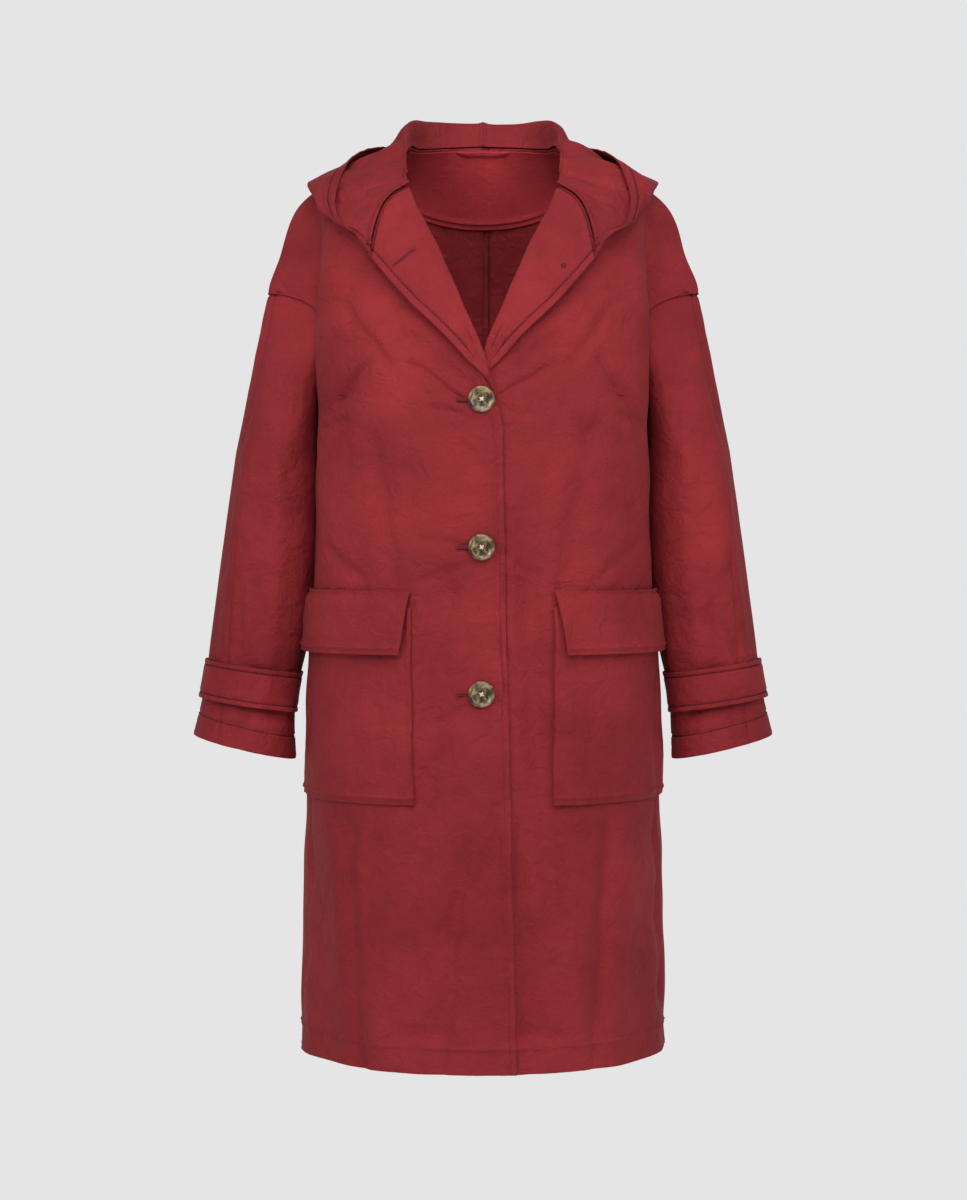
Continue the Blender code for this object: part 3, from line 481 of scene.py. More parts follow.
def body(up, phi, creased=True):
    """Points of the body's cloth at places up it and angles phi, minus on the wearer's right."""
    up, phi = np.broadcast_arrays(np.asarray(up, float), np.asarray(phi, float))
    girth = girth_at(up)
    turn = np.radians(phi)
    side, ahead = np.abs(np.sin(turn)), np.cos(turn)
    depth = np.where(ahead > 0, girth.front, girth.back)
    z_end = np.where(ahead > 0, girth.z_front, girth.z_back)
    n = girth.squareness
    radius = ((side / girth.half_width) ** n + (np.abs(ahead) / depth) ** n) ** (-1 / n)
    radius += girth.corner * bump((np.abs(phi) - CORNER_PHI) / CORNER_SPREAD)
    radius -= girth.valley * bump((np.abs(phi) - VALLEY_PHI) / VALLEY_SPREAD)
    radius += girth.cap * bump((np.abs(phi) - CAP_PHI) / CAP_SPREAD)
    z = z_end + (girth.z_side - z_end) * side**2
    if creased:
        radius -= crease_depth(phi, z)
    return np.stack([radius * np.sin(turn), -radius * ahead, z], axis=-1)


def body_normal(up, phi):
    """The body's outward normal, without its folds."""
    smooth = lambda a, b: body(a, b, creased=False)
    return normals_of(smooth, up, phi, 0.002, 1.0) * -1


def on_body(up, phi, lift):
    """Points at a height above the body's cloth."""
    return body(up, phi) + body_normal(up, phi) * np.asarray(lift)[..., None]


def phi_at_x(up, x):
    """The angle at which the front of the body has that distance from the middle."""
    return np.degrees(np.arctan2(x, girth_at(up).front))


def up_at_z(z):
    """The place up the cloth whose centre front has that height."""
    table = np.array(GIRTHS)
    return np.interp(z, table[:, 1], table[:, 0])


def armhole_reach(up, most):
    """How far the armhole, half an ellipse, cuts in from the side seam, in degrees."""
    share = np.clip((up - ARMHOLE_MIDDLE) / ARMHOLE_HALF, -1, 1)
    return most * np.sqrt(1 - share**2)


def front_edge_phi(up):
    """Minus where the edge lies on the panel's own side of the centre front."""
    table = np.array(ROLL_LINE)
    share = np.clip(up / ROLL_LINE[0].up, 0, 1)
    straight = phi_at_x(up, OVERLAP_FOOT + (OVERLAP_TOP - OVERLAP_FOOT) * share)
    rolled = smooth_through(table[:, 0], table[:, 1], up)
    share = np.clip((up - (ROLL_LINE[0].up - 0.03)) / 0.03, 0, 1)
    return straight * (1 - share) + rolled * share


def crossing(up, phi):
    """1 where the under lapel goes under the upper one, falling smoothly to 0 round it."""
    return bump((up - CROSSING_UP) / CROSSING_HALF) * bump(np.maximum(phi, 0) / CROSSING_PHI)


def under_depth(up, phi):
    """How far the under front is set back, at angles phi on its own side."""
    lap = UNDER_LAP * np.clip((LAP_FADE_PHI - phi) / LAP_FADE, 0, 1)
    lap = lap * np.clip((LAP_TOP_UP - up) / LAP_FADE_UP, 0, 1)
    return lap + CROSSING_DEPTH * crossing(up, phi)


# --- the sleeves -------------------------------------------------------------------------------

def armhole_line():
    """The left armhole seam, from the shoulder end round the front to the underarm and up the back,
    with the angle round the sleeve that each point has."""
    turn = np.linspace(0, np.pi, 49)
    ups = ARMHOLE_MIDDLE + ARMHOLE_HALF * np.cos(turn)
    front_phi = 90 - armhole_reach(ups, ARMHOLE_FRONT_PHI)
    back_phi = 90 + armhole_reach(ups[::-1], ARMHOLE_BACK_PHI)
    line = np.concatenate([body(ups, front_phi), body(ups[::-1], back_phi)[1:]])
    outward = np.concatenate([body_normal(ups, front_phi), body_normal(ups[::-1], back_phi)[1:]])
    around = np.linspace(0, 2 * np.pi, len(line))
    clear = CLOTH * (0.5 - 0.5 * np.cos(around)) ** 2
    line = line + outward * clear[:, None]
    along = run_lengths(line, 0)
    half = along[len(ups) - 1]
    behind = 180 + 180 * (along - half) / (along[-1] - half)
    angle = np.where(along < half, 180 * along / half, behind)
    return angle, line


ARMHOLE_ANGLES, ARMHOLE_POINTS = armhole_line()


def sleeve_fold_depth(along, angle, side):
    """How far the sleeve's folds pull its cloth in."""
    place = np.mod(angle, 360)
    total = np.zeros(np.broadcast(along, angle).shape)
    for number, fold in enumerate(SLEEVE_FOLDS + FINE_SLEEVE_FOLDS[side]):
        share = (along - fold.along_from) / (fold.along_to - fold.along_from)
        centre = fold.angle_from + (fold.angle_to - fold.angle_from) * np.clip(share, 0, 1)
        past_end = np.maximum(np.maximum(-share, share - 1), 0)
        off_line = np.radians(place - centre) / (2 * fold.width)
        fade = bump(past_end / 0.2)
        if number < len(SLEEVE_FOLDS):
            total += fold.depth * bump(off_line) * fade
        else:
            total += fold.depth * (1 - 0.8 * off_line**2) * bump(off_line) * fade
    across, down = np.radians(place) * 0.055, along * SLEEVE_LENGTH
    seam_free = np.sin(np.radians(place) / 2) ** 2
    return total + seam_free * 0.0008 * ripple(across, down, 0.09, 20 + side)


def sleeve(along, angle, side=1, creased=True):
    """Points of a sleeve as it is on the left: along from the armhole (0) to the cuff (1), angle
    round it from the outermost line through the front (90) and the inner side (180)."""
    along, angle = np.broadcast_arrays(np.asarray(along, float), np.asarray(angle, float))
    turn = np.radians(angle)
    table = np.array(SLEEVE_RINGS)
    rows = smooth_through(table[:, 0], table, np.maximum(along, table[0, 0]))
    ring = SleeveRing(*np.moveaxis(rows, -1, 0))
    fold = sleeve_fold_depth(along, angle, side) if creased else np.zeros(along.shape)
    lean = np.radians(ring.tilt)
    across = (ring.half_width - fold) * np.cos(turn)
    tube = np.stack([
        ring.x + across * np.cos(lean),
        ring.y - (ring.half_depth - fold) * np.sin(turn),
        ring.z + across * np.sin(lean),
    ], axis=-1)
    place = np.mod(angle, 360)
    head = read_along(place, ARMHOLE_ANGLES, ARMHOLE_POINTS)
    share = np.clip(along / table[0, 0], 0, 1)[..., None]
    full = SLEEVE_FULLNESS * np.sin(np.pi * share) * (0.5 + 0.5 * np.cos(turn))[..., None]
    flat = np.ones_like(turn)
    outward = np.stack([np.cos(turn), -np.sin(turn), 0.4 * flat], axis=-1)
    inward = np.stack([-0.75 * np.cos(turn) - 0.35, 0.75 * np.sin(turn), 0.30 * flat], axis=-1)
    tucked = np.clip(-along / 0.012, 0, 1)[..., None] * SLEEVE_TURNING
    return head * (1 - share) + tube * share + outward * full + inward * tucked


def overarm_seam(along):
    """The overarm seam's angle, which drifts to the front down the sleeve."""
    table = np.array(SLEEVE_RINGS)
    knots = np.concatenate([[0.0], table[:, 0]])
    angles = np.concatenate([[SEAM_AT_HEAD], table[:, 7]])
    return np.interp(along, knots, angles)


def on_sleeve(along, angle, lift, side):
    """Points at a height above the sleeve's cloth, as on the left."""
    smooth = lambda a, b: sleeve(a, b, side, creased=False)
    normal = normals_of(smooth, along, angle, 0.004, 2.0)
    return sleeve(along, angle, side) - normal * np.asarray(lift)[..., None]


# --- lapels and hood ---------------------------------------------------------------------------

def lapel_surface(row, share, creased=True, under=False):
    """Points of the left lapel: row counts LAPEL_ROWS from the foot, and share runs from the roll
    line to the edge."""
    table = np.array(LAPEL_ROWS)
    knots = np.arange(len(table))
    row, share = np.broadcast_arrays(np.asarray(row, float), np.asarray(share, float))
    roll_up, edge_up, edge_phi, lift = np.moveaxis(smooth_through(knots, table, row), -1, 0)
    roll_phi = front_edge_phi(roll_up)
    up = roll_up + (edge_up - roll_up) * share
    phi = roll_phi + (edge_phi - roll_phi) * share
    base = 0.5 * (CLOTH + DOUBLE_CLOTH) + 2 * LAYER
    over = lift * np.sin(0.5 * np.pi * share) ** 0.8
    if under:
        over = over * (1 - 0.85 * crossing(up, -phi)) - under_depth(up, -phi)
    return body(up, -phi, creased) + body_normal(up, -phi) * (base + over)[..., None]


def clear_of_body(points, clear):
    """The points, with any that lie too near the left shoulder or back moved off it."""
    up, phi = np.meshgrid(np.linspace(0.74, NECK_UP, 60), np.linspace(30, 182, 100))
    cloth_points = body(up, phi, creased=False).reshape(-1, 3)
    outward = body_normal(up, phi).reshape(-1, 3)
    flat, needed = points.reshape(-1, 3), clear.reshape(-1)
    moved = flat.copy()
    for start in range(0, len(flat), 2000):
        part = flat[start:start + 2000]
        apart = np.linalg.norm(part[:, None, :] - cloth_points[None, :, :], axis=2)
        close = np.argsort(apart, axis=1)[:, :6]
        weight = 1 / (np.take_along_axis(apart, close, axis=1) + 1e-4) ** 2
        weight /= weight.sum(axis=1, keepdims=True)
        base = np.sum(cloth_points[close] * weight[..., None], axis=1)
        normal = np.sum(outward[close] * weight[..., None], axis=1)
        height = np.sum((part - base) * normal, axis=1)
        short = needed[start:start + 2000] - height
        push = np.where(short > -0.004, (short + 0.004) ** 2 / 0.016, 0)
        push = np.where(short > 0.004, short, push)
        moved[start:start + 2000] = part + normal * push[:, None]
    return moved.reshape(points.shape)


def hood_surface(station, share):
    """Points of the left half of the hood: station runs from the gorge seam (0) through HOOD_ROWS
    to the centre back, and share from the neck seam (0) to the rim (1)."""
    knots = np.array([0.0, 0.10, 0.34, 0.62, 0.80, 1.0])
    last = len(LAPEL_ROWS) - 1
    sections = [lapel_surface(last, share, creased=False)]
    for row in HOOD_ROWS:
        neck = body(row.neck_up, row.neck_phi, creased=False) + np.array([0, 0, CLOTH * 0.5])
        points = np.array([row.roll, row.inner, row.fold, row.outer, row.rim]) / 1000
        sections.append(smooth_through(knots, np.array([neck, *points]), share))
    beyond = sections[-2] * np.array([-1, 1, 1])
    surface = smooth_through(np.arange(len(sections) + 1), np.array([*sections, beyond]), station)
    clear = HOOD_CLEAR * np.clip(share / 0.05, 0, 1)
    return clear_of_body(surface, np.broadcast_to(clear, surface.shape[:-1]))


def hood_fold_depth(station, share, side):
    """How far the hood's folds pull its cloth towards its outside."""
    u, v = station * HOOD_STATION_LENGTH, share * HOOD_SHARE_LENGTH
    total = np.zeros(np.broadcast(station, share).shape)
    for fold in HOOD_FOLDS[side]:
        start = (fold.station_from * HOOD_STATION_LENGTH, fold.share_from * HOOD_SHARE_LENGTH)
        end = (fold.station_to * HOOD_STATION_LENGTH, fold.share_to * HOOD_SHARE_LENGTH)
        _, off_line, past_end, _ = by_line(u, v, start, end)
        width = fold.width * HOOD_STATION_LENGTH
        reach = off_line / width
        total += fold.depth * (1 - 0.7 * reach**2) * bump(reach) * bump(past_end / (2 * width))
    edges = np.clip(station / 0.6, 0, 1) * np.clip((len(HOOD_ROWS) - station) / 0.4, 0, 1)
    edges = edges * np.clip(share / 0.12, 0, 1)
    return (total + 0.0010 * ripple(u, v, 0.10, 31 + side)) * edges


# --- cloth pieces ------------------------------------------------------------------------------

class Cloth:
    """A grid of points with its outward normals, each point's distance along its row and column, and
    its rows of stitches.

    outward is 1 where rows crossed with columns face out of the coat, and -1 where they face in.
    """

    def __init__(self, points, outward):
        self.points = points
        self.outward = outward
        self.stitch_rows = []
        self.measure()

    def measure(self):
        points = self.points
        down, across = np.gradient(points, axis=0), np.gradient(points, axis=1)
        normal = np.cross(down, across) * self.outward
        self.normals = normal / np.maximum(np.linalg.norm(normal, axis=-1, keepdims=True), 1e-12)
        self.across = run_lengths(points, 1)
        self.down = run_lengths(points, 0)

    def from_edge(self, edge):
        """Each point's distance from the first or last column or row."""
        return {
            "first column": self.across,
            "last column": self.across[:, -1:] - self.across,
            "first row": self.down,
            "last row": self.down[-1:] - self.down,
        }[edge]

    def press(self, depth):
        """Moves the cloth inwards by a depth at each point."""
        self.points = self.points - self.normals * depth[..., None]
        self.measure()

    def sewn_in(self, *edges):
        """Pulls the cloth in at edges that end in a seam."""
        for edge in edges:
            self.press(SEAM_DIP * bump(self.from_edge(edge) / 0.0034))

    def stitched(self, edge, offset, faces=(1,), end=1.0):
        """Notes a row of stitches along an edge, up to a share of its length, on the outer face
        (1), the inner one (-1) or both."""
        self.stitch_rows.append((edge, offset, faces, end))

    def topstitched(self, edge, offset, seed, faces=(1,), end=1.0):
        """A row of stitches that dips the cloth, and puckers it between them and the edge."""
        self.stitched(edge, offset, faces, end)
        away = self.from_edge(edge)
        along = self.down if "column" in edge else self.across
        pucker = 0.00030 * ripple(along, away, 0.010, seed) * bump(away / (0.9 * offset))
        roll = 0.0004 * bump(away / 0.0016)
        self.press(STITCH_DIP * bump((away - offset) / 0.0014) + pucker + roll)

    def line(self, edge, offset, end=1.0):
        """Points and normals at an offset from an edge, up to a share of its length."""
        away = self.from_edge(edge)
        if "row" in edge:
            away, points, normals = away.T, self.points.swapaxes(0, 1), self.normals.swapaxes(0, 1)
        else:
            points, normals = self.points, self.normals
        place, facing = [], []
        for distances, row, row_normals in zip(away, points, normals):
            if distances[0] > distances[-1]:
                distances, row, row_normals = distances[::-1], row[::-1], row_normals[::-1]
            if distances[-1] < offset:
                continue
            place.append(read_along(offset, distances, row))
            facing.append(read_along(offset, distances, row_normals))
        last = round(end * (len(place) - 1))
        return np.array(place)[:last + 1], np.array(facing)[:last + 1]


def mesh_object(name, points, faces, finish, edges=()):
    """A smooth-shaded mesh object of one material."""
    mesh = bpy.data.meshes.new(name)
    mesh.from_pydata(points, list(edges), faces)
    mesh.shade_smooth()
    mesh.materials.append(finish)
    made = bpy.data.objects.new(name, mesh)
    bpy.context.scene.collection.objects.link(made)
    return made


def grid_object(name, cloth, thickness, finish):
    """A mesh through the cloth's grid, with its lengths as UV, and a wall."""
    index = np.arange(cloth.across.size).reshape(cloth.across.shape)
    corners = np.stack([index[:-1, :-1], index[:-1, 1:], index[1:, 1:], index[1:, :-1]], axis=-1)
    if cloth.outward > 0:
        corners = corners[..., ::-1]
    corners = corners.reshape(-1, 4)
    points = cloth.points.reshape(-1, 3).tolist()
    made = mesh_object(f"{name}_cloth", points, corners.tolist(), finish)
    lengths = np.stack([cloth.across, cloth.down], axis=-1).reshape(-1, 2)
    weave = made.data.uv_layers.new(name="weave")
    weave.data.foreach_set("uv", lengths[corners.reshape(-1)].reshape(-1).astype(np.float32))
    wall = made.modifiers.new("wall", "SOLIDIFY")
    wall.thickness = thickness
    wall.offset = 0
    return made


def dress(made, node):
    """The piece rides the coat and stands for its CAD node."""
    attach(made, "root")
    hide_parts(node)


THREADS = {}     # the stitches' places, by the node that they belong to


def sew(node, path, normals, lift, stitch=STITCH, length=STITCH_LENGTH):
    """Stitches along a path on a piece, at a height above its middle surface."""
    along = run_lengths(path, 0)
    count = int(along[-1] / stitch)
    if count < 1:
        return
    at = (np.arange(count) + 0.5) * along[-1] / count
    middle, facing = read_along(at, along, path), read_along(at, along, normals)
    step = 0.4 * length
    after = read_along(np.minimum(at + step, along[-1]), along, path)
    ahead = after - read_along(np.maximum(at - step, 0), along, path)
    ahead /= np.linalg.norm(ahead, axis=1, keepdims=True)
    facing /= np.linalg.norm(facing, axis=1, keepdims=True)
    aside = np.cross(facing, ahead)
    random = np.random.default_rng(count)
    swing = random.normal(0, 0.05, count)[:, None]
    ahead, aside = ahead + aside * swing, aside - ahead * swing
    THREADS.setdefault(node, []).append((middle + facing * lift, ahead, aside, facing, length))


def cloth_piece(node, cloth, thickness, finish):
    """A finished piece: its shell, its rows of stitches and its flat size."""
    made = grid_object(node, cloth, thickness, finish)
    dress(made, node)
    for edge, offset, faces, end in cloth.stitch_rows:
        path, normals = cloth.line(edge, offset, end)
        for face in faces:
            sew(node, path, normals, face * 0.5 * thickness)


def ring_faces(count, rings, sides):
    """The quads round the sides of tubes, each of some rings of points."""
    index = np.arange(count * rings * sides).reshape(count, rings, sides)
    nearby = np.roll(index, -1, axis=2)
    corners = (index[:, :-1], nearby[:, :-1], nearby[:, 1:], index[:, 1:])
    return np.stack(corners, axis=-1).reshape(-1, 4).tolist()


def thread_object(node, runs, finish):
    """One mesh with every stitch of a piece, each a short thread that sinks in at both ends."""
    at = np.array([-0.5, -0.25, 0.25, 0.5])[:, None]
    height = np.array([-0.3, 1.1, 1.1, -0.3])[:, None] * THREAD
    size = np.array([0.55, 1.0, 1.0, 0.55])[:, None, None] * THREAD
    turn = (np.arange(THREAD_SIDES) * 2 * np.pi / THREAD_SIDES)[:, None]
    points = []
    for middle, ahead, aside, facing, length in runs:
        centre = middle[:, None] + ahead[:, None] * (at * length) + facing[:, None] * height
        out = aside[:, None] * np.cos(turn) * 0.8 + facing[:, None] * np.sin(turn) * 0.5
        points.append((centre[:, :, None] + out[:, None] * size).reshape(-1, 3))
    points = np.concatenate(points)
    faces = ring_faces(len(points) // (len(at) * THREAD_SIDES), len(at), THREAD_SIDES)
    made = mesh_object(f"{node}_stitches", points.tolist(), faces, finish)
    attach(made, "root")


# --- materials ---------------------------------------------------------------------------------

def linear(red, green, blue):
    """A colour from its sRGB values."""
    return tuple(((c / 255 + 0.055) / 1.055) ** 2.4 for c in (red, green, blue))


def feed(tree, node, **inputs):
    """Sets a shader node's inputs, each to a value or to another node's output."""
    for name, value in inputs.items():
        socket = node.inputs[name.replace("_", " ")]
        if isinstance(value, bpy.types.NodeSocket):
            tree.links.new(value, socket)
        else:
            socket.default_value = value


def shade(tree, kind, output, settings=(), **inputs):
    """The output of a new shader node."""
    node = tree.nodes.new(f"ShaderNode{kind}")
    for name, value in settings:
        setattr(node, name, value)
    feed(tree, node, **inputs)
    return node.outputs[output]


def colour_ramp(tree, factor, *stops):
    """A colour that runs through stops of (position, linear colour)."""
    colour = shade(tree, "ValToRGB", "Color", Fac=factor)
    elements = colour.node.color_ramp.elements
    while len(elements) < len(stops):
        elements.new(0.5)
    for element, (position, tone) in zip(elements, stops):
        element.position, element.color = position, (*tone, 1)
    return colour


def new_material(name):
    """A new material with its tree and main shader."""
    made = bpy.data.materials.new(name)
    made.use_nodes = True
    return made, made.node_tree, made.node_tree.nodes["Principled BSDF"]


def twill_material(name, painted_light_factor=1.0, crumpled=0.9):
    """Red cotton twill: a fine diagonal weave, uneven dye, creased cloth and a slight bloom."""
    made, tree, shader = new_material(name)
    uv = shade(tree, "UVMap", "UV", [("uv_map", "weave")])
    place = shade(tree, "TexCoord", "Object")
    dye = shade(tree, "TexNoise", "Fac", Vector=place, Scale=9.0, Detail=5.0, Roughness=0.62)
    # A factor above 1 paints light into this copy's colour, and one below 1 paints shade.
    dark, light = ([c * painted_light_factor for c in linear(*tone)] for tone in (TWILL_DARK, TWILL_LIGHT))
    colours = colour_ramp(tree, dye, (0.32, dark), (0.68, light))
    stretched = shade(tree, "Mapping", "Vector", Vector=uv, Scale=(1.0, 0.22, 1.0))
    slub = shade(tree, "TexNoise", "Fac", Vector=stretched, Scale=1500.0, Detail=2.0)
    overlay = [("data_type", "RGBA"), ("blend_type", "OVERLAY")]
    speckled = shade(tree, "Mix", "Result", overlay, Factor=0.22, A=colours, B=slub)

    leaning = shade(tree, "Mapping", "Vector", Vector=uv, Rotation=(0, 0, math.radians(28)))
    bands = [("wave_type", "BANDS"), ("bands_direction", "X")]
    weave = shade(
        tree, "TexWave", "Fac", bands,
        Vector=leaning, Scale=220.0, Distortion=1.2, Detail=1.0, Detail_Scale=3.0,
    )
    yarns = shade(tree, "Mix", "Result", Factor=0.5, A=weave, B=slub)
    crumple = shade(tree, "TexNoise", "Fac", Vector=place, Scale=150.0, Detail=3.0, Distortion=0.8)
    wavy = shade(
        tree, "TexNoise", "Fac",
        Vector=place, Scale=42.0, Detail=5.0, Roughness=0.62, Distortion=0.6,
    )
    relief = shade(tree, "Bump", "Normal", Strength=0.16, Distance=0.0004, Height=yarns)
    for strength, distance, height in ((0.5, 0.0016, crumple), (crumpled, 0.006, wavy)):
        relief = shade(
            tree, "Bump", "Normal", Strength=strength, Distance=distance, Height=height, Normal=relief
        )
    feed(tree, shader, Base_Color=speckled, Normal=relief, Roughness=0.82, Specular_IOR_Level=0.20)
    feed(tree, shader, Sheen_Weight=0.04, Sheen_Roughness=0.45, Sheen_Tint=(0.9, 0.45, 0.42, 1))
    return made


def plain_material(name, colour, roughness):
    """One colour, for threads and for the painted shade inside holes and slits."""
    made, tree, shader = new_material(name)
    tone = (*linear(*colour), 1)
    feed(tree, shader, Base_Color=tone, Roughness=roughness, Specular_IOR_Level=0.4)
    return made


def horn_material():
    """Olive and brown horn with dark blotches, polished."""
    made, tree, shader = new_material("horn")
    place = shade(tree, "TexCoord", "Object")
    grain = shade(
        tree, "TexNoise", "Fac",
        Vector=place, Scale=95.0, Detail=4.0, Roughness=0.55, Distortion=0.9,
    )
    tones = ((0.36, HORN_DARK), (0.46, HORN_BROWN), (0.55, HORN_OLIVE), (0.68, HORN_PALE))
    colours = colour_ramp(tree, grain, *((position, linear(*tone)) for position, tone in tones))
    feed(tree, shader, Base_Color=colours, Roughness=0.28, Coat_Weight=0.3)
    return made


TWILL_DARK, TWILL_LIGHT = (130, 35, 40), (154, 45, 50)
# The stitches' thread, darker than the cloth: partly its own dark red, partly painted shade of the
# groove it lies in.
THREAD_RED_AND_GROOVE_SHADE = (48, 7, 12)
BUTTONHOLE_RED = (118, 22, 34)
HORN_DARK, HORN_BROWN = (28, 22, 18), (84, 66, 44)
HORN_OLIVE, HORN_PALE = (128, 110, 76), (178, 160, 122)
BUTTON_THREAD = (232, 222, 196)
HOLE_PAINTED_SHADE = (30, 18, 16)
BACKGROUND = (229, 229, 229)

twill = twill_material("twill")
# The hood's copy of the cloth is darker all over: painted shade.
twill_hood_painted_shade = twill_material("twill_hood_painted_shade", 0.86)
# The facing's and hanger loop's copy of the cloth is brighter: painted light inside the shaded back
# neck.
twill_inside_painted_light = twill_material("twill_inside_painted_light", 1.55, crumpled=0.3)
thread_red_and_groove_shade = plain_material("thread_red_and_groove_shade", THREAD_RED_AND_GROOVE_SHADE, 0.7)
buttonhole_red = plain_material("buttonhole_red", BUTTONHOLE_RED, 0.6)
button_thread = plain_material("button_thread", BUTTON_THREAD, 0.6)
hole_painted_shade = plain_material("hole_painted_shade", HOLE_PAINTED_SHADE, 0.8)
horn = horn_material()


# --- the coat's pieces -------------------------------------------------------------------------

def panel_rows():
    """Places up the cloth, with more where the armhole and the shoulder curve."""
    turn = np.linspace(0, np.pi, 46)
    return np.concatenate([
        places(UNDERARM_UP, first=(HEM_DEPTH,))[:-2] * UNDERARM_UP,
        ARMHOLE_MIDDLE - ARMHOLE_HALF * np.cos(turn),
        SLEEVE_HEAD_UP + (NECK_UP - SLEEVE_HEAD_UP) * np.linspace(0, 1, 60)[1:],
    ])


def front(side, word):
    """One front, from its edge to the side seam, armhole and shoulder seam."""
    ups = panel_rows()[:, None]
    end = 90 - armhole_reach(ups, ARMHOLE_FRONT_PHI)
    edge = np.minimum(-front_edge_phi(ups), end - 0.3)
    widths = width_of(lambda phi: body(ups, phi, creased=False), edge, end)
    share = places(FRONT_WIDTH, first=(EDGE_STITCH,))[None, :]
    share = even_ends(share, FRONT_WIDTH, np.maximum(widths, 0.05))
    phi = edge + (end - edge) * np.clip(share, 0, 1)
    depth = under_depth(ups, phi) if side > 0 else np.zeros_like(phi)
    cloth = Cloth(on_body(ups, side * phi, -depth), side)
    cloth.sewn_in("last column")
    cloth.topstitched("first row", HEM_DEPTH, 11 + side)
    cloth.topstitched("first column", EDGE_STITCH, 13 + side, end=BELOW_LAPEL)
    cloth_piece(f"front_{word}", cloth, CLOTH, twill)


def back(side, word):
    """One half of the back, from the side seam to the centre back seam."""
    ups = panel_rows()[:, None]
    start = 90 + armhole_reach(ups, ARMHOLE_BACK_PHI)
    widths = width_of(lambda phi: body(ups, phi, creased=False), start, 180)
    band = (FELLED_SEAM, FELLED_SEAM + 0.0040) if side > 0 else ()
    share = even_ends(places(BACK_WIDTH, last=band)[None, :], BACK_WIDTH, np.maximum(widths, 0.05))
    phi = start + (180 - start) * np.clip(share, 0, 1)
    cloth = Cloth(on_body(ups, side * phi, np.zeros_like(phi)), side)
    cloth.sewn_in("first column", "last column")
    cloth.topstitched("first row", HEM_DEPTH, 17 + side)
    if side > 0:
        past_turning = cloth.from_edge("last column") - FELLED_SEAM - 0.0025
        cloth.press(0.0009 * (0.5 - 0.5 * np.tanh(past_turning / 0.0009)))
        cloth.topstitched("last column", FELLED_SEAM, 19, faces=(1, -1))
    cloth_piece(f"back_{word}", cloth, CLOTH, twill)


def sleeve_piece(side, word, half):
    """The "front" or "back" half of a sleeve, between the overarm and underarm seams."""
    along = np.append([-0.012, -0.006], places(SLEEVE_LENGTH, last=(CUFF_HEM_DEPTH,)))[:, None]
    seam = overarm_seam(along)
    first, last = (seam, UNDERARM_SEAM) if half == "front" else (UNDERARM_SEAM, 360 + seam)
    angle = first + (last - first) * places(HALF_SLEEVE_WIDTH)[None, :]
    cloth = Cloth(mirrored(sleeve(along, angle, side), side), -side)
    cloth.sewn_in("first column", "last column")
    cloth.press(SEAM_DIP * bump((cloth.down - cloth.down[2:3]) / 0.0028))
    cloth.topstitched("last row", CUFF_HEM_DEPTH, 23 + side)
    cloth_piece(f"sleeve_{half}_{word}", cloth, CLOTH, twill)


def cuff_strap(side, word):
    """A broad strap round the sleeve, looser at its foot, sewn into the underarm seam."""
    down = places(STRAP_WIDTH, first=(STRAP_STITCH,), last=(STRAP_STITCH,))[:, None]
    along = STRAP_TOP + (STRAP_FOOT - STRAP_TOP) * down
    share = places(STRAP_LENGTH)[None, :]
    angle = UNDERARM_SEAM + 1 + 358 * share
    clear = 0.5 * (CLOTH + DOUBLE_CLOTH) + LAYER
    looser = 0.0024 + 0.0014 * (along - STRAP_TOP) / (STRAP_FOOT - STRAP_TOP)
    uneven = 0.0007 * ripple(angle / 57, along, 0.6, 40 + side)
    away_from_seam = np.clip(np.minimum(share, 1 - share) / 0.10, 0, 1)
    lift = clear + (looser + uneven + 0.7 * sleeve_fold_depth(along, angle, side)) * away_from_seam
    cloth = Cloth(mirrored(on_sleeve(along, angle, lift, side), side), -side)
    for seed, edge in ((41, "first row"), (42, "last row")):
        cloth.topstitched(edge, STRAP_STITCH, seed)
    cloth_piece(f"cuff_strap_{word}", cloth, DOUBLE_CLOTH, twill)


def on_front_height(z, x_inner, phi_outer, share):
    """Places on the front at a height: from a distance off the centre to an angle near the side."""
    up = up_at_z(z)
    inner = phi_at_x(up, x_inner)
    return up, inner + (phi_outer - inner) * share


def pocket(side, word):
    """A patch pocket, on the front and round to the side seam."""
    drop = places(POCKET_LENGTH, last=(POCKET_STITCH_FOOT,))[:, None]
    z = POCKET_TOP + (POCKET_FOOT - POCKET_TOP) * drop
    share = places(POCKET_WIDTH, first=(POCKET_STITCH_INNER,), last=(POCKET_STITCH_SIDE,))[None, :]
    up, phi = on_front_height(z, POCKET_INNER_X, POCKET_SIDE_PHI, share)
    sewn = np.minimum(np.minimum(share, 1 - share) / 0.06, (1 - drop) / 0.045)
    uneven = 0.55 + 0.45 * ripple(share, drop, 0.9, 50 + side)
    fullness = 0.0032 * np.clip(sewn, 0, 1) ** 0.5 * uneven
    lift = CLOTH + 2 * LAYER + np.maximum(fullness, 0)
    cloth = Cloth(on_body(up, side * phi, lift), -side)
    cloth.topstitched("last row", POCKET_STITCH_FOOT, 51)
    cloth.topstitched("last column", POCKET_STITCH_SIDE, 52)
    cloth.topstitched("first column", POCKET_STITCH_INNER, 53)
    cloth_piece(f"pocket_{word}", cloth, CLOTH, twill)


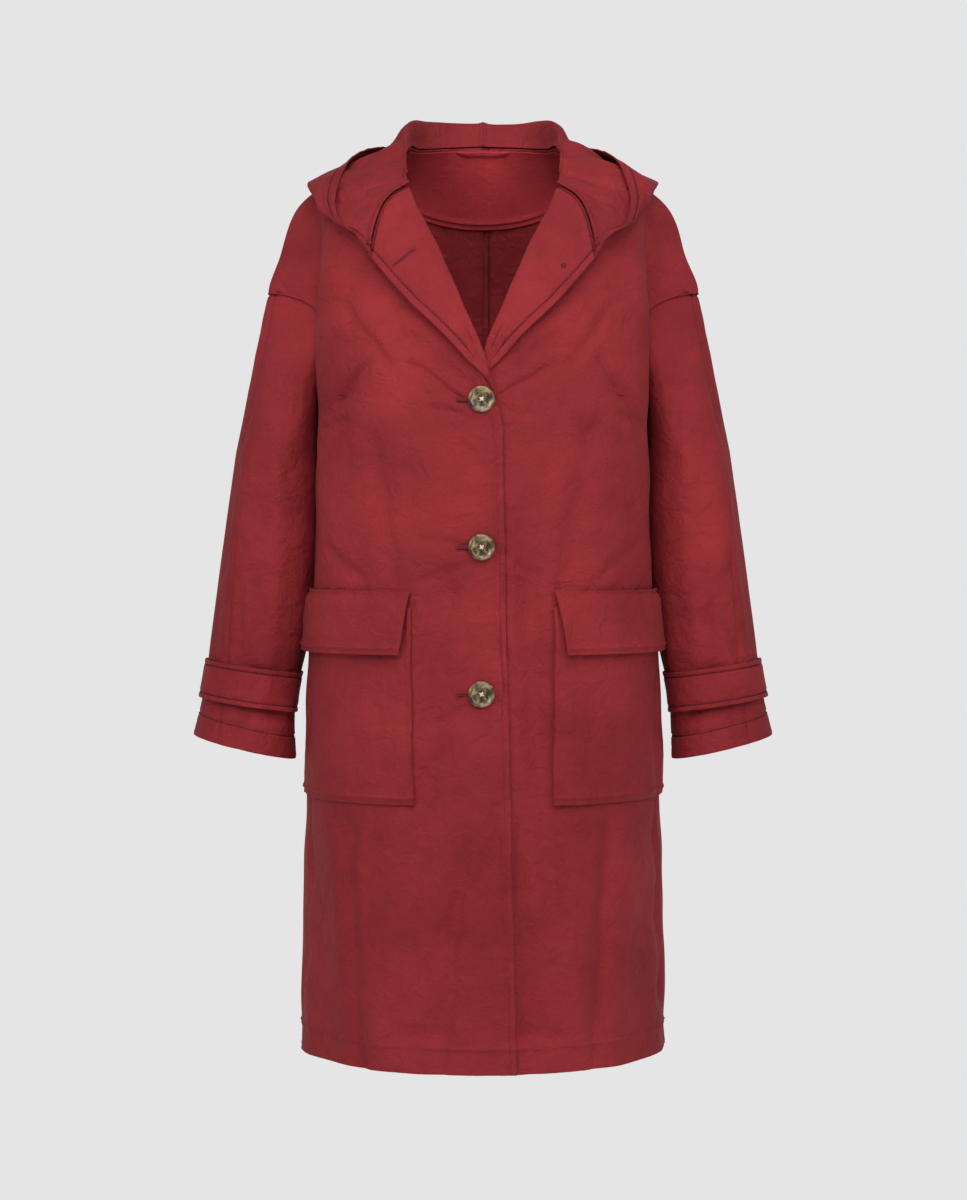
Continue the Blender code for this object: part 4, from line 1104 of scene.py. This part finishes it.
def flap(side, word):
    """The pocket's flap: a band sewn along its top, folded down, and standing off at its foot."""
    stitches = (FLAP_TOP_STITCH, FLAP_BAND_STITCH)
    drop = places(FLAP_LENGTH, first=stitches, last=(FLAP_STITCH,))[:, None]
    z = FLAP_TOP + (FLAP_FOOT - FLAP_TOP) * drop
    share = places(POCKET_WIDTH)[None, :]
    up, phi = on_front_height(z, FLAP_INNER_X + 0.011 * drop, FLAP_SIDE_PHI + 2.0 * drop, share)
    band = FLAP_BAND / (FLAP_TOP - FLAP_FOOT)
    fold = 1 / (1 + np.exp(-(drop - band) / 0.010))
    base = 1.5 * CLOTH + 0.5 * DOUBLE_CLOTH + 2 * LAYER + 0.0008
    lift = base + fold * (0.0044 + FLAP_LIFT * drop**1.4 * (0.55 + 0.45 * share))
    lift = lift + 0.0005 * fold * ripple(share, drop, 0.5, 60 + side)
    cloth = Cloth(on_body(up, side * phi, lift), -side)
    cloth.topstitched("last row", FLAP_STITCH, 61)
    cloth.topstitched("first row", FLAP_BAND_STITCH, 62)
    cloth.stitched("first row", FLAP_TOP_STITCH)
    cloth_piece(f"pocket_flap_{word}", cloth, DOUBLE_CLOTH, twill)


def lapel(side, word):
    """The turned-back lapel, from the roll line to its edge, up to the gorge seam."""
    start = UNDER_LAPEL_START if side > 0 else 0.0
    top = len(LAPEL_ROWS) - 1
    row = start + (top - start) * places(LAPEL_LENGTH, last=(GORGE_STITCH,))[:, None]
    widths = width_of(lambda share: lapel_surface(row, share, creased=False), 0.0, 1.0)
    share = places(LAPEL_WIDTH, last=(EDGE_STITCH,))[None, :]
    share = np.clip(even_ends(share, LAPEL_WIDTH, np.maximum(widths, 0.012)), 0, 1)
    cloth = Cloth(mirrored(lapel_surface(row, share, under=side > 0), side), -side)
    cloth.topstitched("last column", EDGE_STITCH, 71 + side)
    cloth.sewn_in("last row")
    cloth.topstitched("last row", GORGE_STITCH, 73)
    cloth_piece(f"lapel_{word}", cloth, DOUBLE_CLOTH, twill)


def hood(side, word):
    """One half of the hood, from the gorge seam round to the centre back seam."""
    last = len(HOOD_ROWS)
    station = last * places(HOOD_LENGTH, first=(GORGE_STITCH,), last=(HOOD_BACK_STITCH,))[:, None]
    share = places(HOOD_WIDTH, last=(RIM_STITCH,))[None, :]
    surface = hood_surface(station[:, 0], share[0])
    surface[-1, :, 0] = 0
    cloth = Cloth(mirrored(surface, side), side)
    cloth.press(-hood_fold_depth(station, share, side))
    cloth.points[-1, :, 0] = 0
    cloth.measure()
    cloth.sewn_in("last row", "first column")
    both = (1, -1)
    cloth.topstitched("last column", RIM_STITCH, 81 + side, both)
    cloth.sewn_in("first row")
    cloth.topstitched("first row", GORGE_STITCH, 83, both)
    cloth.stitched("last row", HOOD_BACK_STITCH, both)
    cloth_piece(f"hood_{word}", cloth, CLOTH, twill_hood_painted_shade)


def facing():
    """The half-moon facing inside the back neck."""
    share = places(FACING_DEPTH_CENTRE, last=(FACING_STITCH,))[:, None]
    across = -1 + 2 * places(FACING_WIDTH)[None, :]
    phi = 180 + across * 80
    middle = np.cos(0.5 * np.pi * across) ** 0.7
    deep = FACING_DEPTH_SIDE + (FACING_DEPTH_CENTRE - FACING_DEPTH_SIDE) * middle
    up = (NECK_UP - 0.003) - deep * share
    signed = np.where(phi > 180, phi - 360, phi)
    lift = -(CLOTH + 1.5 * LAYER) * np.ones_like(phi * up)
    cloth = Cloth(on_body(up, signed, lift), 1)
    cloth.topstitched("last row", FACING_STITCH, 91, faces=(-1,))
    cloth_piece("back_neck_facing", cloth, CLOTH, twill_inside_painted_light)


def hanger_loop():
    """A narrow band hung across the back neck, its ends sewn down."""
    share = -1 + 2 * with_margins(30, LOOP_WIDTH, 0.0006)[None, :]
    row = with_margins(6, LOOP_HEIGHT, 0.0006)[:, None]
    half_phi = math.degrees(0.5 * LOOP_WIDTH / GIRTHS[-1].back)
    phi = 180 - share * half_phi * (1 - 0.14 * row)
    signed = np.where(phi > 180, phi - 360, phi)
    up = NECK_UP - 0.0030 - LOOP_HEIGHT * row + 0 * share
    clear = 2.2 * CLOTH + 2 * LAYER + 0.0042 * (1 - share**4)
    cloth = Cloth(on_body(up, signed, -clear * np.ones_like(phi * up)), -1)
    for edge in ("first row", "last row"):
        cloth.stitched(edge, LOOP_STITCH, faces=(-1,))
    cloth_piece("hanger_loop", cloth, DOUBLE_CLOTH, twill_inside_painted_light)


# --- buttons -----------------------------------------------------------------------------------

def button_place(z):
    """The middle of a button's back, its outward direction and the piece's turn."""
    up = up_at_z(z)
    outward = Vector(body_normal(up, BUTTON_PHI))
    place = Vector(on_body(up, BUTTON_PHI, 0.5 * CLOTH + BUTTON_SHANK))
    return place, outward, outward.to_track_quat("Z", "Y").to_euler()


def turned(name, outline, steps, finish):
    """A solid turned from its outline of (radius, height) about the Z axis."""
    points = [(radius, 0, height) for radius, height in outline]
    edges = [(i, i + 1) for i in range(len(points) - 1)]
    made = mesh_object(name, points, [], finish, edges)
    screw = made.modifiers.new("turned", "SCREW")
    screw.steps = screw.render_steps = steps
    screw.use_merge_vertices = True
    screw.merge_threshold = 0.00002
    screw.use_smooth_shade = True
    return made


def tube(name, points, radius, finish):
    """A thread, or a slit's painted shade, along points, as a closed mesh."""
    path = np.array([list(point) for point in points], float)
    ahead = np.gradient(path, axis=0)
    ahead /= np.linalg.norm(ahead, axis=1, keepdims=True)
    helper = np.array([0.31, 0.57, 0.76])
    aside = np.cross(ahead, helper)
    aside /= np.linalg.norm(aside, axis=1, keepdims=True)
    facing = np.cross(ahead, aside)
    turn = (np.arange(TUBE_SIDES) * 2 * np.pi / TUBE_SIDES)[:, None]
    ring = aside[:, None] * np.cos(turn) + facing[:, None] * np.sin(turn)
    rings = (path[:, None] + radius * ring).reshape(-1, 3)
    ends = [list(range(TUBE_SIDES))[::-1], list(range(len(rings) - TUBE_SIDES, len(rings)))]
    faces = [*ring_faces(1, len(path), TUBE_SIDES), *ends]
    return mesh_object(name, rings.tolist(), faces, finish)


def button(word, z, spin):
    """A four-hole horn button with a raised rim, sewn on with a cross of thread."""
    name = f"button_{word}"
    place, _, angles = button_place(z)
    rim, thick = BUTTON_RADIUS, BUTTON_THICKNESS
    turn = np.linspace(-0.5 * math.pi, 0.5 * math.pi, 9)
    rounding = 0.0012
    edge = [(rim - rounding * (1 - math.cos(t)), thick * (0.5 + 0.42 * math.sin(t))) for t in turn]
    well = [(0.80 * rim, 0.90 * thick), (0.74 * rim, 0.80 * thick), (0.66 * rim, 0.70 * thick)]
    outline = [(0.0, 0.0), (0.6 * rim, 0.0), *edge, (0.86 * rim, 0.96 * thick), *well]
    outline += [(0.5 * rim, 0.665 * thick), (0.0, 0.66 * thick)]
    made = turned(f"{name}_horn", outline, 64, horn)
    made.location = place
    made.rotation_euler = angles
    dress(made, name)
    holes = [
        (BUTTON_HOLE_OFFSET * math.cos(a), BUTTON_HOLE_OFFSET * math.sin(a))
        for a in (math.radians(45 + 90 * i) + spin for i in range(4))
    ]
    top = 0.665 * thick
    for number, (x, y) in enumerate(holes):
        # Each hole is a shallow dark disc: painted shade.
        shade_disc = turned(f"{name}_hole_{number}", HOLE_OUTLINE, 20, hole_painted_shade)
        shade_disc.location = (x, y, top)
        shade_disc.parent = made
    sink = np.array([0, 0, -0.0002])
    for number in (0, 1):
        start, end = np.array([*holes[number], top]), np.array([*holes[number + 2], top])
        rise = np.array([0, 0, 0.0006 + 0.0003 * number])
        for letter, aside in (("a", -0.00045), ("b", 0.00045)):
            across = np.cross((end - start) / np.linalg.norm(end - start), [0, 0, 1]) * aside
            heights = ((0, sink), (0.2, rise * 0.8), (0.5, rise), (0.8, rise * 0.8), (1, sink))
            path = [start * (1 - at) + end * at + across + height for at, height in heights]
            strand = tube(f"{name}_thread_{number}_{letter}", path, 0.00042, button_thread)
            strand.parent = made


def buttonhole(name, centre, ahead, outward, length, node):
    """A worked buttonhole: two close rows of thread round a slit, with a bar at its end."""
    aside = outward.cross(ahead).normalized()
    for row in (-1, 1):
        lane = aside * (row * 0.0010)
        path = np.array([centre + lane, centre + ahead * length + lane])
        sew_band(node, path, outward)
    end = centre + ahead * length
    path = np.array([end - aside * 0.0020, end + aside * 0.0020])
    sew_band(node, path, outward, reach=0.0014)
    path = [place + outward * 0.0002 for place in (centre, 0.5 * (centre + end), end)]
    # The slit is a thin dark tube: painted shade in the cut.
    slit = tube(f"{name}_slit", path, 0.00055, hole_painted_shade)
    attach(slit, "root")


def on_lapel(row, share, side):
    """A point on a lapel's face, and its outward direction."""
    surface = lambda a, b: mirrored(lapel_surface(a, b, under=side > 0), side)
    normal = normals_of(surface, row, share, 0.05, 0.02)
    normal = normal if normal[1] < 0 else -normal
    return Vector(surface(row, share) + normal * 0.5 * DOUBLE_CLOTH), Vector(normal)


def lapel_buttonhole():
    """The buttonhole in the upper lapel, across its outer corner."""
    outer, facing = on_lapel(*LAPEL_SLIT_OUTER, -1)
    inner, _ = on_lapel(*LAPEL_SLIT_INNER, -1)
    run = inner - outer
    buttonhole("buttonhole_lapel", outer, run.normalized(), facing, run.length, "lapel_right")


def lapel_mark():
    """A small ring of stitches where a button is held from below, on the under lapel."""
    middle, facing = on_lapel(*LAPEL_MARK, 1)
    across = facing.cross(Vector((0, 0, 1))).normalized()
    upwards = across.cross(facing).normalized()
    turn = np.linspace(0, 2 * np.pi, 15)
    ring = [across * math.cos(t) + upwards * math.sin(t) for t in turn]
    path = [middle + place * LAPEL_MARK_RADIUS for place in ring]
    normals = np.repeat(np.array(facing)[None], len(path), axis=0)
    sew("lapel_left", np.array(path), normals, 0.0002, 0.0016, 0.0015)


def sew_band(node, path, outward, reach=0.0018):
    """Close stitches side by side across a path, as a worked edge has."""
    length = float(np.linalg.norm(path[1] - path[0]))
    count = max(int(length / 0.00042), 2)
    at = ((np.arange(count) + 0.5) / count)[:, None]
    middle = path[0] + (path[1] - path[0]) * at
    along = (path[1] - path[0]) / length
    facing = np.repeat(np.array(outward)[None], count, axis=0)
    ahead = np.cross(facing, along[None])
    random = np.random.default_rng(count)
    ahead = ahead + along[None] * random.normal(0, 0.08, count)[:, None]
    aside = np.repeat(along[None], count, axis=0)
    BANDS.setdefault(node, []).append((middle + facing * 0.0004, ahead, aside, facing, reach))


BANDS = {}
HOLE_OUTLINE = (    # of radius and height, a shallow disc of painted shade
    (0.0, 0.00012), (0.0009, 0.00010), (0.0011, 0.00004), (0.0012, -0.0001), (0.0, -0.0001)
)


# --- building the coat -------------------------------------------------------------------------

for side, word in ((1, "left"), (-1, "right")):
    front(side, word)
    back(side, word)
    for half in ("front", "back"):
        sleeve_piece(side, word, half)
    cuff_strap(side, word)
    pocket(side, word)
    flap(side, word)
    lapel(side, word)
    hood(side, word)
facing()
hanger_loop()
for word, z, spin in zip(("top", "middle", "bottom"), BUTTON_Z, (0.10, -0.16, 0.22)):
    button(word, z, spin)
    place, outward, _ = button_place(z)
    ahead = Vector((-1, 0, 0))
    start = place + ahead * (BUTTON_RADIUS - 0.001) - outward * BUTTON_SHANK
    buttonhole(f"buttonhole_{word}", start, ahead, outward, BUTTONHOLE_LENGTH, "front_right")
lapel_buttonhole()
lapel_mark()
for node, runs in THREADS.items():
    thread_object(node, runs, thread_red_and_groove_shade)
for node, runs in BANDS.items():
    thread_object(f"{node}_buttonhole", runs, buttonhole_red)


# --- studio ------------------------------------------------------------------------------------

CAMERA_DISTANCE, EYE_Z = 3.1, -0.367
METRES_PER_PIXEL = 0.00113      # at the coat's own distance, in the photograph
PHOTO_HEIGHT, EYE_ROW, MIDDLE_ROW = 1200, 515, 600
FLOOR_Z, FLOOR_FRONT_Y = -1.45, -4.5
BACKDROP_Y, BACKDROP_TOP, BACKDROP_HALF_WIDTH, BACKDROP_CURVE = 6.0, 5.5, 8.0, 2.4


def studio_sweep():
    """A pale floor that curves up into a backdrop, evenly lit."""
    made_of, tree, shader = new_material("backdrop")
    tree.nodes.remove(shader)
    glow = shade(tree, "Emission", "Emission", Color=(*linear(*BACKGROUND), 1))
    feed(tree, tree.nodes["Material Output"], Surface=glow)
    turn = np.linspace(0, 0.5 * math.pi, 16)
    back, low = BACKDROP_Y - BACKDROP_CURVE, FLOOR_Z + BACKDROP_CURVE
    arc = [(back + BACKDROP_CURVE * math.sin(t), low - BACKDROP_CURVE * math.cos(t)) for t in turn]
    section = [(FLOOR_FRONT_Y, FLOOR_Z), *arc, (BACKDROP_Y, BACKDROP_TOP)]
    points = [(x, y, z) for y, z in section for x in (-BACKDROP_HALF_WIDTH, BACKDROP_HALF_WIDTH)]
    faces = [(2 * i, 2 * i + 1, 2 * i + 3, 2 * i + 2) for i in range(len(section) - 1)]
    mesh_object("backdrop", points, faces, made_of)


def softbox(name, place, target, width, height, power):
    """A large soft light that faces a point."""
    lamp = bpy.data.lights.new(name, "AREA")
    lamp.shape = "RECTANGLE"
    lamp.size, lamp.size_y, lamp.energy = width, height, power
    made = bpy.data.objects.new(name, lamp)
    made.location = place
    made.rotation_euler = (Vector(target) - Vector(place)).to_track_quat("-Z", "Y").to_euler()
    bpy.context.scene.collection.objects.link(made)


def camera():
    """The photograph's view: level, with the frame moved down to the coat's middle."""
    focal_pixels = CAMERA_DISTANCE / METRES_PER_PIXEL
    lens = bpy.data.cameras.new("camera")
    lens.sensor_width = 36
    lens.lens = lens.sensor_width * focal_pixels / PHOTO_HEIGHT
    made = bpy.data.objects.new("camera", lens)
    made.location = (0.0005, -CAMERA_DISTANCE, EYE_Z)
    pitch = math.atan((MIDDLE_ROW - EYE_ROW) / focal_pixels)
    made.rotation_euler = (0.5 * math.pi - pitch, 0, 0)
    bpy.context.scene.collection.objects.link(made)
    bpy.context.scene.camera = made


studio_sweep()
softbox("overhead", (0, -1.3, 1.6), (0, 0, -0.1), 2.0, 1.0, 22)
softbox("key", (-1.5, -1.9, 0.75), (-0.1, 0, -0.05), 0.9, 0.9, 16.5)
softbox("fill", (1.5, -1.9, 0.70), (0.1, 0, -0.05), 0.9, 0.9, 14.5)
softbox("front", (0, -1.9, 0.70), (0, 0.05, -0.02), 0.5, 0.4, 8)
camera()

world = bpy.data.worlds.new("studio")
bpy.context.scene.world = world
world.use_nodes = True
feed(world.node_tree, world.node_tree.nodes["Background"], Color=(1, 1, 1, 1), Strength=0.14)
bpy.context.scene.view_settings.view_transform = "Standard"
